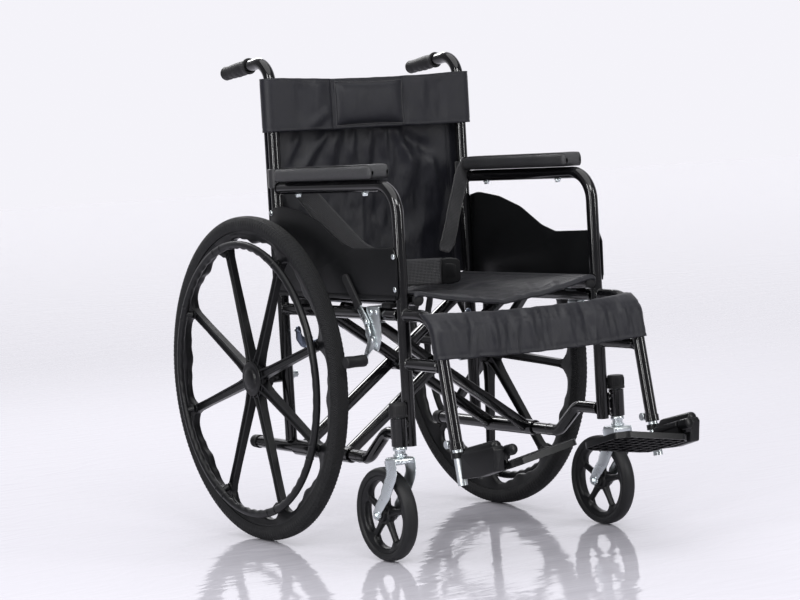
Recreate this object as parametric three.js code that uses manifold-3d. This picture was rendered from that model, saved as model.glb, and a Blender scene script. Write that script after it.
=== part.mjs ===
// Folding manual wheelchair with a tubular steel frame, moulded mag wheels and a double cross brace.
// Millimetres, +Z up. The chair faces -Y and its user's right side is -X.
// Y is counted from the rear axle while the pieces are made; the whole chair is then moved so that
// the origin lies under the middle of its bounding box, on the floor.
import * as THREE from 'three';
import { mergeVertices } from 'three/addons/utils/BufferGeometryUtils.js';
import Module from 'manifold-3d';

const wasm = await Module();
wasm.setup();

// ---- driving dimensions ----
const axleBack = 198.0;           // rear axle behind the middle of the bounding box
const halfTrack = 213.5;          // side frame tubes, either side of the middle
const tubeR = 11;
const tubeSides = 10;
const gap = 0.4;                  // clearance between neighbouring pieces

const caneY = -22;
const uprightY = -426;
const lowerRailZ = 172;
const seatRailZ = 432;
const armTubeZ = 657;
const handleZ = 889.5;            // centre of the push handle at the front of its grip
const gripY = 50;
const gripFall = 6;               // degrees
const uprightFootZ = 203;

const wheelR = 305;               // 24 inch rear wheel
const wheelX = 268.5;
const tyreHalf = 16.5;
const rimR = 277.5;
const rimInnerR = 257;
const rimHalf = 10;
const handrimX = 292.2;
const handrimR = 252;
const handrimTube = 6.8;
const spokeCount = 8;
const spokePhase = { right: 28, left: 3.3 };

const casterR = 83;
const casterX = 241;
const stemY = -434;
const casterTrail = 53;
const casterHalf = 14;
const casterRimR = 68;

const seatTubeX = 190;
const seatTubeZ = 457;
const seatBackY = -50;
const seatFrontY = -438;
const braceFootZ = 170;           // centre line of a brace bar at its foot
const braceTopZ = 450;            // and at its top
const pivotZ = 310;
const barHigh = 20;
const barDeep = 14;
const braceBars = { lower_right: [-60, -212], lower_left: [-77, -195] };

const hangerSlope = 0.19;         // rearward rise of the leg rest hanger, mm per mm
const hangerCornerY = -526;
const hangerFootZ = 208;
const hangerBoreR = 9.8;
const footTubeR = 8.6;
const footTubeFootZ = 148;
const plateTilt = 15;             // degrees, toe edge up
const plateLift = 9.2;            // degrees, inner edge up
const plateDrop = 27;             // the tread hangs this far under its hinge
const plateHinge = { x: 190, y: -640, z: 204 };
const plateThick = 12;

// ---- finishes ----
const finish = {
  frame: { color: 0x0a0a0c, roughness: 0.22, metalness: 0.0 },
  plastic: { color: 0x17181a, roughness: 0.55, metalness: 0.0 },
  pad: { color: 0x1b1c1f, roughness: 0.75, metalness: 0.0 },
  tyre: { color: 0x1a1b1d, roughness: 0.85, metalness: 0.0 },
  nylon: { color: 0x101014, roughness: 0.7, metalness: 0.0 },
  zinc: { color: 0xb4b8ba, roughness: 0.35, metalness: 1.0 },
};

// ---- geometry helpers ----
const rad = THREE.MathUtils.degToRad;

// Shared vertices, no normals, faces outwards.
function closed(geometry) {
  const bare = geometry.index ? geometry : geometry.clone();
  for (const name of ['normal', 'uv']) {
    if (bare.getAttribute(name)) bare.deleteAttribute(name);
  }
  const merged = mergeVertices(bare, 1e-4);
  const p = merged.getAttribute('position');
  const index = merged.index.array;
  const a = new THREE.Vector3();
  const b = new THREE.Vector3();
  const c = new THREE.Vector3();
  let volume = 0;
  for (let i = 0; i < index.length; i += 3) {
    a.fromBufferAttribute(p, index[i]);
    b.fromBufferAttribute(p, index[i + 1]);
    c.fromBufferAttribute(p, index[i + 2]);
    volume += a.dot(b.cross(c));
  }
  if (volume < 0) {
    for (let i = 0; i < index.length; i += 3) {
      [index[i], index[i + 1]] = [index[i + 1], index[i]];
    }
  }
  return merged;
}

function solidOf(geometry) {
  const g = closed(geometry);
  const vertProperties = new Float32Array(g.getAttribute('position').array);
  const triVerts = new Uint32Array(g.index.array);
  return new wasm.Manifold(new wasm.Mesh({ numProp: 3, vertProperties, triVerts }));
}

function geometryOf(solid) {
  const mesh = solid.getMesh();
  const g = new THREE.BufferGeometry();
  g.setAttribute('position', new THREE.BufferAttribute(new Float32Array(mesh.vertProperties), 3));
  g.setIndex(new THREE.BufferAttribute(new Uint32Array(mesh.triVerts), 1));
  return g;
}

function join(...parts) {
  return geometryOf(parts.map(solidOf).reduce((whole, part) => whole.add(part)));
}

function cut(body, ...tools) {
  return geometryOf(tools.map(solidOf).reduce((left, tool) => left.subtract(tool), solidOf(body)));
}

function ring(radius, sides = tubeSides) {
  const points = [];
  for (let i = 0; i < sides; i += 1) {
    const turn = (2 * Math.PI * (i + 0.5)) / sides;
    points.push(new THREE.Vector2(radius * Math.cos(turn), radius * Math.sin(turn)));
  }
  return new THREE.Shape(points);
}

// A path through given points, one step to each, with the mean direction at every corner.
class BentPath extends THREE.Curve {
  constructor(points) {
    super();
    this.points = points;
  }

  getPointAt(u) {
    return this.points[Math.round(u * (this.points.length - 1))].clone();
  }

  getPoint(u) {
    return this.getPointAt(u);
  }

  getTangentAt(u) {
    const i = Math.round(u * (this.points.length - 1));
    const before = this.points[Math.max(i - 1, 0)];
    const after = this.points[Math.min(i + 1, this.points.length - 1)];
    return after.clone().sub(before).normalize();
  }
}

// Rounds each inner corner of a polyline: corners are [x, y, z, bend radius].
function bend(corners, steps = 6) {
  const points = [];
  corners.forEach(([x, y, z, r], i) => {
    const here = new THREE.Vector3(x, y, z);
    if (!r) {
      points.push(here);
      return;
    }
    const into = new THREE.Vector3(...corners[i - 1]).sub(here).normalize();
    const out = new THREE.Vector3(...corners[i + 1]).sub(here).normalize();
    const half = into.angleTo(out) / 2;
    const centre = here.clone().add(into.clone().add(out).normalize().multiplyScalar(r / Math.sin(half)));
    const first = here.clone().addScaledVector(into, r / Math.tan(half)).sub(centre);
    const last = here.clone().addScaledVector(out, r / Math.tan(half)).sub(centre);
    const whole = first.angleTo(last);
    for (let k = 0; k <= steps; k += 1) {
      const t = k / steps;
      const a = Math.sin((1 - t) * whole) / Math.sin(whole);
      const b = Math.sin(t * whole) / Math.sin(whole);
      points.push(centre.clone().addScaledVector(first, a).addScaledVector(last, b));
    }
  });
  return points;
}

function tube(corners, radius = tubeR, sides = tubeSides) {
  const points = bend(corners);
  const settings = { steps: points.length - 1, bevelEnabled: false, extrudePath: new BentPath(points) };
  return new THREE.ExtrudeGeometry(ring(radius, sides), settings);
}

function rod(radius, from, to, sides = tubeSides) {
  return tube([from, to], radius, sides);
}

// An outline drawn as (y, z) pairs, thick along X from x0 to x1.
function sidePlate(outline, x0, x1) {
  const shape = outline instanceof THREE.Shape ? outline : new THREE.Shape(outline.map((p) => new THREE.Vector2(...p)));
  const g = new THREE.ExtrudeGeometry(shape, { depth: Math.abs(x1 - x0), bevelEnabled: false, curveSegments: 8 });
  const turn = new THREE.Matrix4().makeBasis(
    new THREE.Vector3(0, 1, 0), new THREE.Vector3(0, 0, 1), new THREE.Vector3(1, 0, 0));
  return g.applyMatrix4(turn).translate(Math.min(x0, x1), 0, 0);
}

// An outline drawn as (x, z) pairs, thick along Y from y0 to y1.
function frontPlate(outline, y0, y1) {
  const shape = new THREE.Shape(outline.map((p) => new THREE.Vector2(...p)));
  const g = new THREE.ExtrudeGeometry(shape, { depth: Math.abs(y1 - y0), bevelEnabled: false });
  const turn = new THREE.Matrix4().makeBasis(
    new THREE.Vector3(1, 0, 0), new THREE.Vector3(0, 0, 1), new THREE.Vector3(0, -1, 0));
  return g.applyMatrix4(turn).translate(0, Math.max(y0, y1), 0);
}

// An outline drawn as (x, y) pairs, thick along Z from z0 to z1.
function planPlate(outline, z0, z1) {
  const shape = new THREE.Shape(outline.map((p) => new THREE.Vector2(...p)));
  return new THREE.ExtrudeGeometry(shape, { depth: z1 - z0, bevelEnabled: false }).translate(0, 0, z0);
}

function box(x0, x1, y0, y1, z0, z1) {
  const g = new THREE.BoxGeometry(Math.abs(x1 - x0), Math.abs(y1 - y0), Math.abs(z1 - z0));
  return g.translate((x0 + x1) / 2, (y0 + y1) / 2, (z0 + z1) / 2);
}

// A turned solid on the X axis: profile is [radius, x] pairs that close on themselves or on the axis.
function turned(profile, segments) {
  const points = profile.map(([r, x]) => new THREE.Vector2(r, x));
  return new THREE.LatheGeometry(points, segments).rotateZ(-Math.PI / 2);
}

// The same on the Z axis: profile is [radius, z] pairs.
function turnedUp(profile, segments) {
  const points = profile.map(([r, z]) => new THREE.Vector2(r, z));
  return new THREE.LatheGeometry(points, segments).rotateX(Math.PI / 2);
}

const wheelchair = new THREE.Group();
wheelchair.position.y = axleBack;

function add(name, geometry, look, parent = wheelchair) {
  const mesh = new THREE.Mesh(closed(geometry), new THREE.MeshStandardMaterial(finish[look]));
  mesh.name = name;
  parent.add(mesh);
  return mesh;
}

function hangerY(z) {
  return hangerCornerY - (seatRailZ - z) * hangerSlope;
}

// The push handle's centre line, falling to the rear.
function handleAt(y) {
  return handleZ - (y - gripY) * Math.tan(rad(gripFall));
}

// ---- side frame: side is -1 for the user's right, +1 for the left ----

function backCane(x, side) {
  const cane = tube([
    [x, caneY, lowerRailZ + tubeR + gap],
    [x, caneY, handleAt(caneY), 42],
    [x, 118, handleAt(118)],
  ]);
  const sleeve = rod(12, [x - side * 16, 0, wheelR], [x + side * 26, 0, wheelR], 12);
  const bore = rod(7, [x - side * 20, 0, wheelR], [x + side * 30, 0, wheelR], 12);
  return cut(join(cane, sleeve), bore);
}

function handGrip() {
  const length = 94;
  return turned([
    [0, length], [10, length], [13.5, length - 3], [14, length - 40], [13.2, length - 55],
    [14, length - 70], [15.5, 4], [15.5, 0], [11.9, 0], [11.9, 74], [0, 74],
  ], 12).rotateZ(Math.PI / 2);
}

function armTube(x, side) {
  const post = tube([
    [x, caneY - tubeR - gap, armTubeZ],
    [x, uprightY, armTubeZ, 52],
    [x, uprightY, uprightFootZ],
  ]);
  const housing = turnedUp([
    [0, 276], [8, 274], [8, 207], [14, 207], [14, 256], [16, 257], [16, 280], [14, 282], [0, 282],
  ], 12).translate(side * casterX, stemY, 0);
  const webs = [[208, 224], [236, 252]].map(([low, high]) => box(
    side * (halfTrack + 8), side * (casterX - 10), uprightY - 10, uprightY - 4, low, high));
  return join(post, housing, ...webs);
}

function lowerRail(x) {
  return tube([
    [x, 94, lowerRailZ],
    [x, -292, lowerRailZ, 34],
    [x, -352, lowerRailZ + 50, 34],
    [x, uprightY + tubeR + gap, lowerRailZ + 50],
  ]);
}

function hanger(x) {
  const footY = hangerY(hangerFootZ);
  const leg = tube([
    [x, uprightY - tubeR - gap, seatRailZ],
    [x, hangerCornerY, seatRailZ, 60],
    [x, footY, hangerFootZ],
  ]);
  const middle = 347;
  const spur = rod(tubeR, [x, uprightY - tubeR - gap, middle], [x, hangerY(middle) + 3, middle]);
  const down = new THREE.Vector3(0, -hangerSlope, -1).normalize();
  const foot = new THREE.Vector3(x, footY, hangerFootZ);
  const mouth = foot.clone().addScaledVector(down, 4);
  const end = foot.clone().addScaledVector(down, -122);
  return cut(join(leg, spur), rod(hangerBoreR, mouth.toArray(), end.toArray(), 12));
}

function armPad(x) {
  const outline = new THREE.Shape();
  const [back, front, low, high] = [-36, -378, armTubeZ + tubeR + gap, 695];
  outline.moveTo(back, low);
  outline.lineTo(back, high - 5);
  outline.lineTo(back - 5, high);
  outline.lineTo(front + 14, high);
  outline.quadraticCurveTo(front, high - 2, front, low + 9);
  outline.lineTo(front + 6, low);
  outline.closePath();
  return sidePlate(outline, x - 25, x + 25);
}

function sidePanel(side) {
  const x = side * (halfTrack + tubeR + gap);
  const curve = new THREE.SplineCurve([
    [-17, 621], [-54, 624], [-121, 615], [-189, 594], [-253, 559], [-291, 547], [-330, 546],
  ].map((p) => new THREE.Vector2(...p)));
  const outline = new THREE.Shape([
    ...curve.getPoints(14),
    new THREE.Vector2(-424, 549),
    new THREE.Vector2(-434, 541),
    new THREE.Vector2(-432, 464),
    new THREE.Vector2(-424, 458),
    new THREE.Vector2(-17, 458),
  ]);
  return sidePlate(outline, x, x + side * 2.4);
}

function brakeBracket(side) {
  const near = halfTrack + tubeR + gap;
  const web = sidePlate([
    [-372, 446], [-336, 446], [-328, 426], [-322, 412], [-336, 372], [-362, 366], [-372, 392],
  ], side * near, side * (near + 3.6));
  const lip = box(side * (near - 24), side * (near + 3), -370, -338, seatRailZ + tubeR + gap, 446.5);
  return join(web, lip);
}

const leverPivot = [-335, 419];
const shoePivot = [-350, 386];
const brakeX = halfTrack + tubeR + gap + 4.2;

function brakeLever(side) {
  const top = [-273, 498];
  const [along, up] = [top[0] - leverPivot[0], top[1] - leverPivot[1]];
  const length = Math.hypot(along, up);
  const [dy, dz] = [along / length, up / length];
  const at = (run, across) => [leverPivot[0] + dy * run - dz * across, leverPivot[1] + dz * run + dy * across];
  const bar = sidePlate([
    at(-12, -7), at(-12, 7), at(22, 9), at(length - 4, 9), at(length + 4, 3), at(length + 4, -3),
    at(length - 4, -9), at(22, -9),
  ], side * brakeX, side * (brakeX + 5));
  return bar;
}

function brakeShoe(side) {
  const shoe = [-324, 350];
  const arm = sidePlate([
    [shoePivot[0] - 8, shoePivot[1] + 8], [shoePivot[0] + 6, shoePivot[1] + 8],
    [shoe[0] + 6, shoe[1] + 2], [shoe[0] + 2, shoe[1] - 6], [shoe[0] - 8, shoe[1] - 2],
    [shoePivot[0] - 8, shoePivot[1] - 10],
  ], side * brakeX, side * (brakeX + 4));
  const roller = rod(11, [side * (brakeX + 1), ...shoe], [side * 274, ...shoe], 12);
  return join(arm, roller);
}

// ---- wheels: made about the axle, then placed ----

function ringAround(radius, centreX, tubeRadius, segments, sides) {
  const loop = [];
  for (let i = 0; i <= sides; i += 1) {
    const turn = (2 * Math.PI * i) / sides;
    loop.push([radius + tubeRadius * Math.cos(turn), centreX + tubeRadius * Math.sin(turn)]);
  }
  return turned(loop, segments);
}

function rearTyre() {
  const inner = rimR + gap;
  return turned([
    [inner, -12], [inner + 12, -tyreHalf], [wheelR - 9, -tyreHalf + 1], [wheelR, -7],
    [wheelR, 7], [wheelR - 9, tyreHalf - 1], [inner + 12, tyreHalf], [inner, 12], [inner, -12],
  ], 44);
}

function rearWheel(side, phase) {
  const rim = turned([
    [rimInnerR, -7], [rimR - 4, -rimHalf], [rimR, -rimHalf], [rimR, rimHalf], [rimR - 4, rimHalf],
    [rimInnerR, 7], [rimInnerR, -7],
  ], 44);
  const hub = turned([
    [8, -side * 27], [20, -side * 27], [24, -side * 8], [34, -side * 4], [34, side * 7], [8, side * 7],
    [8, -side * 27],
  ], 20);
  const spokes = [];
  for (let i = 0; i < spokeCount; i += 1) {
    const spoke = frontPlate([[-7, 28], [7, 28], [6, rimInnerR + 9], [-6, rimInnerR + 9]], -12.6, 12.6);
    const taper = spoke.getAttribute('position');
    for (let k = 0; k < taper.count; k += 1) {
      if (taper.getZ(k) > rimInnerR) taper.setY(k, taper.getY(k) * 0.62);
    }
    spoke.rotateX(rad(phase) + (2 * Math.PI * i) / spokeCount);
    spokes.push(spoke);
  }
  return join(rim, hub, ...spokes);
}

function handrim(side, phase) {
  const hoop = ringAround(handrimR, 0, handrimTube, 44, 8);
  const lugs = [];
  for (let i = 0; i < spokeCount; i += 1) {
    const lug = box(side * (rimHalf + gap + wheelX - handrimX), side * -2, -7, 7, 230, handrimR);
    lugs.push(lug.rotateX(rad(phase) + (2 * Math.PI * i) / spokeCount));
  }
  return join(hoop, ...lugs);
}

function hubCap(side) {
  return turned([
    [0, side * 7.4], [33, side * 7.4], [31, side * 12], [20, side * 17], [0, side * 19],
  ], 20);
}

function axle(side) {
  const pin = rod(6.4, [-side * 88, 0, 0], [side * 3, 0, 0], 12);
  const inner = halfTrack - 16 - gap - wheelX;
  const nut = rod(11, [side * (inner - 9), 0, 0], [side * inner, 0, 0], 6);
  return join(pin, nut);
}

// ---- front casters: made about the stem ----

function casterFork(side) {
  const stem = rod(6.6, [0, 0, 182], [0, 0, 268], 12);
  const crown = planPlate([[-23, -14], [-14, -22], [14, -22], [23, -14], [23, 20], [-23, 20]], 178, 188);
  const legs = [-1, 1].map((end) => sidePlate([
    [-20, 184], [18, 184], [27, 158], [48, 122], [62, 92], [61, 78], [53, 73], [44, 78], [38, 96],
    [14, 128], [-8, 158],
  ], end * 17.6, end * 23));
  const pin = rod(4, [-27 * side, casterTrail, casterR], [27 * side, casterTrail, casterR], 8);
  return join(stem, crown, ...legs, pin);
}

function casterTyre() {
  const inner = casterRimR + gap;
  return turned([
    [inner, -10], [casterR - 7, -casterHalf], [casterR, -6], [casterR, 6], [casterR - 7, casterHalf],
    [inner, 10], [inner, -10],
  ], 28);
}

function casterWheel() {
  const rim = turned([[casterRimR - 9, -9], [casterRimR, -10], [casterRimR, 10], [casterRimR - 9, 9],
    [casterRimR - 9, -9]], 28);
  const hub = turned([[4.8, -16], [13, -16], [13, 16], [4.8, 16], [4.8, -16]], 14);
  const spokes = [];
  for (let i = 0; i < 5; i += 1) {
    spokes.push(box(-7, 7, -7, 7, 11, casterRimR - 7).rotateX((2 * Math.PI * (i + 0.1)) / 5));
  }
  return join(rim, hub, ...spokes);
}

// ---- leg rest: sliding tube, bracket and footplate ----

function footTube(x) {
  return rod(footTubeR, [x, hangerY(footTubeFootZ), footTubeFootZ], [x, hangerY(312), 312], 12);
}

function footBracket(x, side) {
  const web = sidePlate([
    [-586, 203], [-684, 224], [-688, 216], [-684, 180], [-588, 158],
  ], x + side * 9, x - side * 13);
  const clamp = rod(13.5, [x, hangerY(200), 200], [x, hangerY(160), 160], 12);
  const lug = box(x - side * 10, x - side * 22, -688, -677, 198, 214);
  const { x: pinX } = plateHinge;
  const knobY = -677;
  const knob = rod(9.5, [side * pinX, knobY, plateHinge.z + 8], [side * pinX, knobY - 22, plateHinge.z + 13], 12);
  const bore = rod(footTubeR + 0.7, [x, hangerY(212), 212], [x, hangerY(150), 150], 12);
  return cut(join(web, clamp, lug, knob), bore);
}

function footplate(side) {
  const plate = planPlate([
    [side * 4, -44], [side * 4, 62], [-side * 12, 70], [-side * 124, 72], [-side * 142, 58],
    [-side * 146, -34], [-side * 130, -52.9], [-side * 10, -54.9],
  ], -plateDrop - plateThick / 2, -plateDrop + plateThick / 2);
  plate.rotateY(side * rad(plateLift));
  const knuckle = rod(7.6, [0, -30, 0], [0, 36, 0], 12);
  const web = box(-side * 6, side * 1, -28, 34, -plateDrop - 2, 0);
  return join(plate, knuckle, web);
}

// ---- cross brace, seat tubes and soft goods ----

function crossBrace(side) {
  const foot = side * halfTrack;
  const top = -side * seatTubeX;
  const bars = braceBars[side < 0 ? 'lower_right' : 'lower_left'];
  const rise = braceTopZ - braceFootZ;
  const run = top - foot;
  const length = Math.hypot(rise, run);
  const [nx, nz] = [(-rise / length) * (barHigh / 2), (run / length) * (barHigh / 2)];
  const outline = [
    [foot + nx, braceFootZ + nz], [top + nx, braceTopZ + nz], [top - nx, braceTopZ - nz],
    [foot - nx, braceFootZ - nz],
  ];
  const pieces = bars.map((y) => frontPlate(outline, y - barDeep / 2, y + barDeep / 2));
  pieces.push(...bars.map((y) => rod(12, [0, y - barDeep / 2, pivotZ], [0, y + barDeep / 2, pivotZ], 12)));
  const sleeveEnds = [Math.max(...bars) + 15, Math.min(...bars) - 22];
  pieces.push(rod(14.5, [foot, sleeveEnds[0], lowerRailZ], [foot, sleeveEnds[1], lowerRailZ], 14));
  pieces.push(rod(tubeR, [top, seatBackY, seatTubeZ], [top, seatFrontY, seatTubeZ], 12));
  const bore = rod(12, [foot, sleeveEnds[0] + 5, lowerRailZ], [foot, sleeveEnds[1] - 5, lowerRailZ], 14);
  const holes = bars.map((y) => rod(5, [0, y - barDeep, pivotZ], [0, y + barDeep, pivotZ], 10));
  return cut(join(...pieces), bore, ...holes);
}

function pivotRod() {
  const shank = rod(4.2, [0, -49, pivotZ], [0, -223, pivotZ], 10);
  const head = rod(8, [0, -44, pivotZ], [0, -50, pivotZ], 6);
  const nut = rod(8, [0, -222, pivotZ], [0, -228, pivotZ], 6);
  return join(shank, head, nut);
}

function seatHalf(side) {
  const inner = side * 0.25;
  return frontPlate([
    [side * 200, 466], [side * 198, 472.5], [side * 180, 473], [inner, 443], [inner, 439],
    [side * 180, 469], [side * 196, 469.3],
  ], -42, -441);
}

function backHalf(side) {
  const inner = side * 0.25;
  const loop = planPlate([
    [inner, -40.5], [side * 234, -40.5], [side * 234, -3.5], [inner, -3.5], [inner, -7.5],
    [side * 230, -7.5], [side * 230, -36.5], [inner, -36.5],
  ], 762, 862);
  const panel = box(inner, side * 228, -3.5, -7.5, 470, 765);
  return join(loop, panel);
}

function calfHalf(side) {
  const inner = side * 0.25;
  const sheet = sidePlate([[-538, 438], [-541.5, 438], [-559.5, 360], [-556, 360]], inner, side * 229);
  const flap = sidePlate([[-512, 438], [-541.5, 438], [-559.5, 360], [-528, 360]], side * 226, side * 229.5);
  return join(sheet, flap);
}

function guideLink(side) {
  const x = side * (halfTrack - tubeR - 2);
  return frontPlate([
    [x, 399], [x - side * 10, 399], [x - side * 13, 380], [x - side * 30, 366], [x - side * 96, 383],
    [x - side * 98, 371], [x - side * 30, 352], [x - side * 10, 358], [x, 372],
  ], -39, -43);
}

function strap(outline, y = -46) {
  return frontPlate(outline, y, y - 3);
}

// ---- assembly ----

for (const [name, side] of [['right', -1], ['left', 1]]) {
  const x = side * halfTrack;
  add(`${name}_back_cane`, backCane(x, side), 'frame');
  add(`${name}_arm_tube`, armTube(x, side), 'frame');
  add(`${name}_seat_rail`, rod(tubeR, [x, caneY - tubeR - gap, seatRailZ], [x, uprightY + tubeR + gap, seatRailZ]),
    'frame');
  add(`${name}_lower_rail`, lowerRail(x), 'frame');
  add(`${name}_hanger`, hanger(x), 'frame');

  const grip = add(`${name}_hand_grip`, handGrip(), 'plastic');
  grip.position.set(x, gripY, handleZ);
  grip.rotation.x = -rad(gripFall);
  add(`${name}_tip_cap`, rod(13, [x, 94 + gap, lowerRailZ], [x, 118, lowerRailZ], 12), 'plastic');
  add(`${name}_arm_pad`, armPad(x), 'pad');
  add(`${name}_side_panel`, sidePanel(side), 'plastic');

  add(`${name}_brake_bracket`, brakeBracket(side), 'zinc');
  add(`${name}_brake_lever`, brakeLever(side), 'plastic');
  add(`${name}_brake_shoe`, brakeShoe(side), 'plastic');

  const wheel = new THREE.Group();
  wheel.position.set(side * wheelX, 0, wheelR);
  wheelchair.add(wheel);
  add(`${name}_axle`, axle(side), 'zinc', wheel);
  add(`${name}_wheel`, rearWheel(side, spokePhase[name]), 'plastic', wheel);
  add(`${name}_tyre`, rearTyre(), 'tyre', wheel);
  add(`${name}_hub_cap`, hubCap(side), 'plastic', wheel);
  const rail = add(`${name}_handrim`, handrim(side, spokePhase[name]), 'plastic', wheel);
  rail.position.x = side * (handrimX - wheelX);

  const caster = new THREE.Group();
  caster.position.set(side * casterX, stemY, 0);
  wheelchair.add(caster);
  add(`${name}_caster_fork`, casterFork(side), 'zinc', caster);
  const roller = new THREE.Group();
  roller.position.set(0, casterTrail, casterR);
  caster.add(roller);
  add(`${name}_caster_wheel`, casterWheel(), 'plastic', roller);
  add(`${name}_caster_tyre`, casterTyre(), 'tyre', roller);

  add(`${name}_foot_tube`, footTube(x), 'zinc');
  add(`${name}_foot_bracket`, footBracket(x, side), 'plastic');
  const plate = add(`${name}_footplate`, footplate(side), 'plastic');
  plate.position.set(side * plateHinge.x, plateHinge.y, plateHinge.z);
  plate.rotation.x = -rad(plateTilt);

  add(`lower_${name}_cross_brace`, crossBrace(side), 'frame');
  add(`${name}_guide_link`, guideLink(side), 'zinc');
  add(`${name}_seat_half`, seatHalf(side), 'nylon');
  add(`${name}_back_half`, backHalf(side), 'nylon');
  add(`${name}_calf_strap`, calfHalf(side), 'nylon');
}
add('brace_pivot_rod', pivotRod(), 'zinc');
const belt = new THREE.Group();
belt.position.set(-198, -44, 0);
belt.rotation.z = -rad(27.4);
wheelchair.add(belt);
add('right_lap_belt', strap([
  [12, 652], [46, 652], [128, 541], [200, 512], [276, 510], [276, 459], [190, 459], [104, 520], [12, 636],
], 1.5), 'nylon', belt);
add('belt_buckle', box(276.6, 312, -7, 7, 459, 510), 'plastic', belt);
add('left_lap_belt', strap([[200, 664], [186, 664], [138, 522], [150, 512], [166, 516], [200, 628]]), 'nylon');


export default wheelchair;
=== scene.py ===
import bpy, bmesh, math
from math import sin, cos, pi, tau, radians, hypot
from mathutils import Vector, Matrix, noise


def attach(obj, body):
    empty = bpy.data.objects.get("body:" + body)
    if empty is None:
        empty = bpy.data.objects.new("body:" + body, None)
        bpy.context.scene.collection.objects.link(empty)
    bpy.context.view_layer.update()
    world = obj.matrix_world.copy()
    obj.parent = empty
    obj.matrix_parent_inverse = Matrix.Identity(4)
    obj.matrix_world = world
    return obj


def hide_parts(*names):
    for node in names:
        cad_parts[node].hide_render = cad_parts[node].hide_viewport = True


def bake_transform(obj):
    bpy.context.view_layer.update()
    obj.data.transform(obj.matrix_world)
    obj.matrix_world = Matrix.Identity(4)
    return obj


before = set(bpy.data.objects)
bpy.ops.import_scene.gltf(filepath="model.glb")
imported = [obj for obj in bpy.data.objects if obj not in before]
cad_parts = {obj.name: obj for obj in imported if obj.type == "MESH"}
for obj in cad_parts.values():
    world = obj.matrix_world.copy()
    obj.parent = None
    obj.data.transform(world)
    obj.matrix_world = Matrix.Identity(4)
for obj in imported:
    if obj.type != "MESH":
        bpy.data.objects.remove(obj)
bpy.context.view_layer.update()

# Sizes are in millimetres with y = 0 at the rear axle, and are put in the frame's metres at the end of each piece.
chair = dict(axleBack=198.0, track=213.5, tubeRadius=11.0, tubeSides=28,
             handleZ=889.5, gripY=50.0, gripFall=6.0)
toFrame = Matrix.Scale(0.001, 4) @ Matrix.Translation((0, chair["axleBack"], 0))
sides = (("right", -1), ("left", 1))


def bent(corners, steps=8, closed=False):
    out = []
    count = len(corners)
    for i, corner in enumerate(corners):
        here, r = Vector(corner[:3]), (corner[3] if len(corner) > 3 else 0)
        if not r or (not closed and i in (0, count - 1)):
            out.append(here)
            continue
        a = (Vector(corners[i - 1][:3]) - here).normalized()
        b = (Vector(corners[(i + 1) % count][:3]) - here).normalized()
        half = a.angle(b) / 2
        if half > 1.56:
            out.append(here)
            continue
        centre = here + (a + b).normalized() * (r / sin(half))
        first, last = here + a * (r / math.tan(half)) - centre, here + b * (r / math.tan(half)) - centre
        whole = first.angle(last)
        for k in range(steps + 1):
            t = k / steps
            out.append(centre + (first * sin((1 - t) * whole) + last * sin(t * whole)) / sin(whole))
    return out


def stations(points, up):  # a frame at every point, carried along without twist
    frames, across = [], None
    for i, p in enumerate(points):
        along = (points[min(i + 1, len(points) - 1)] - points[max(i - 1, 0)]).normalized()
        if across is None:
            across = along.cross(Vector(up))
            across = across if across.length > 0.1 else along.cross(Vector((1, 0.1, 0)))
        across = (across - along * across.dot(along)).normalized()
        other = along.cross(across)
        turn = Matrix((across, other, along)).transposed().to_4x4()
        frames.append(Matrix.Translation(p) @ turn)
    return frames


def sweep(bm, points, radius, sides=0, section=None, sizes=None, up=(0, 0, 1), capped=True):
    points = [Vector(p) for p in points]
    places = stations(points, up)
    sizes = sizes or [(1, 1)] * len(points)
    stretched = [m @ Matrix.Diagonal((a, b, 1, 1)) for m, (a, b) in zip(places, sizes)]
    before = set(bm.verts)
    if section:
        ring = [bm.verts.new((a, b, 0)) for a, b in section]
        edges = [bm.edges.new(pair) for pair in zip(ring, ring[1:] + ring[:1])]
    else:
        made = bmesh.ops.create_circle(bm, cap_ends=False, radius=radius, segments=sides or chair["tubeSides"])
        ring = made["verts"]
        edges = list({e for v in ring for e in v.link_edges})
    bmesh.ops.transform(bm, matrix=stretched[0], verts=ring)
    if capped:
        bmesh.ops.edgeloop_fill(bm, edges=edges)
    for old, new in zip(stretched, stretched[1:]):
        pushed = bmesh.ops.extrude_edge_only(bm, edges=edges)["geom"]
        edges = [g for g in pushed if isinstance(g, bmesh.types.BMEdge)]
        bmesh.ops.transform(bm, matrix=new @ old.inverted(), verts=[g for g in pushed if isinstance(g, bmesh.types.BMVert)])
    if capped:
        bmesh.ops.edgeloop_fill(bm, edges=edges)
    fresh = [v for v in bm.verts if v not in before]
    bmesh.ops.recalc_face_normals(bm, faces=list({f for v in fresh for f in v.link_faces}))
    return fresh


def lathe(bm, profile, segments=48, place=None, spot=None):
    before = set(bm.verts)
    chain = [bm.verts.new((x, 0, r)) for r, x in profile]
    edges = [bm.edges.new(pair) for pair in zip(chain, chain[1:])]
    bmesh.ops.spin(bm, geom=chain + edges, cent=(0, 0, 0), axis=(1, 0, 0), angle=tau, steps=segments, use_merge=True)
    fresh = [v for v in bm.verts if v not in before]
    bmesh.ops.remove_doubles(bm, verts=fresh, dist=1e-3)
    fresh = [v for v in bm.verts if v not in before]
    bmesh.ops.recalc_face_normals(bm, faces=list({f for v in fresh for f in v.link_faces}))
    if place is not None:
        bmesh.ops.transform(bm, matrix=place, verts=fresh)
    if spot is not None:
        bmesh.ops.translate(bm, vec=spot, verts=fresh)
    return fresh


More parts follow.
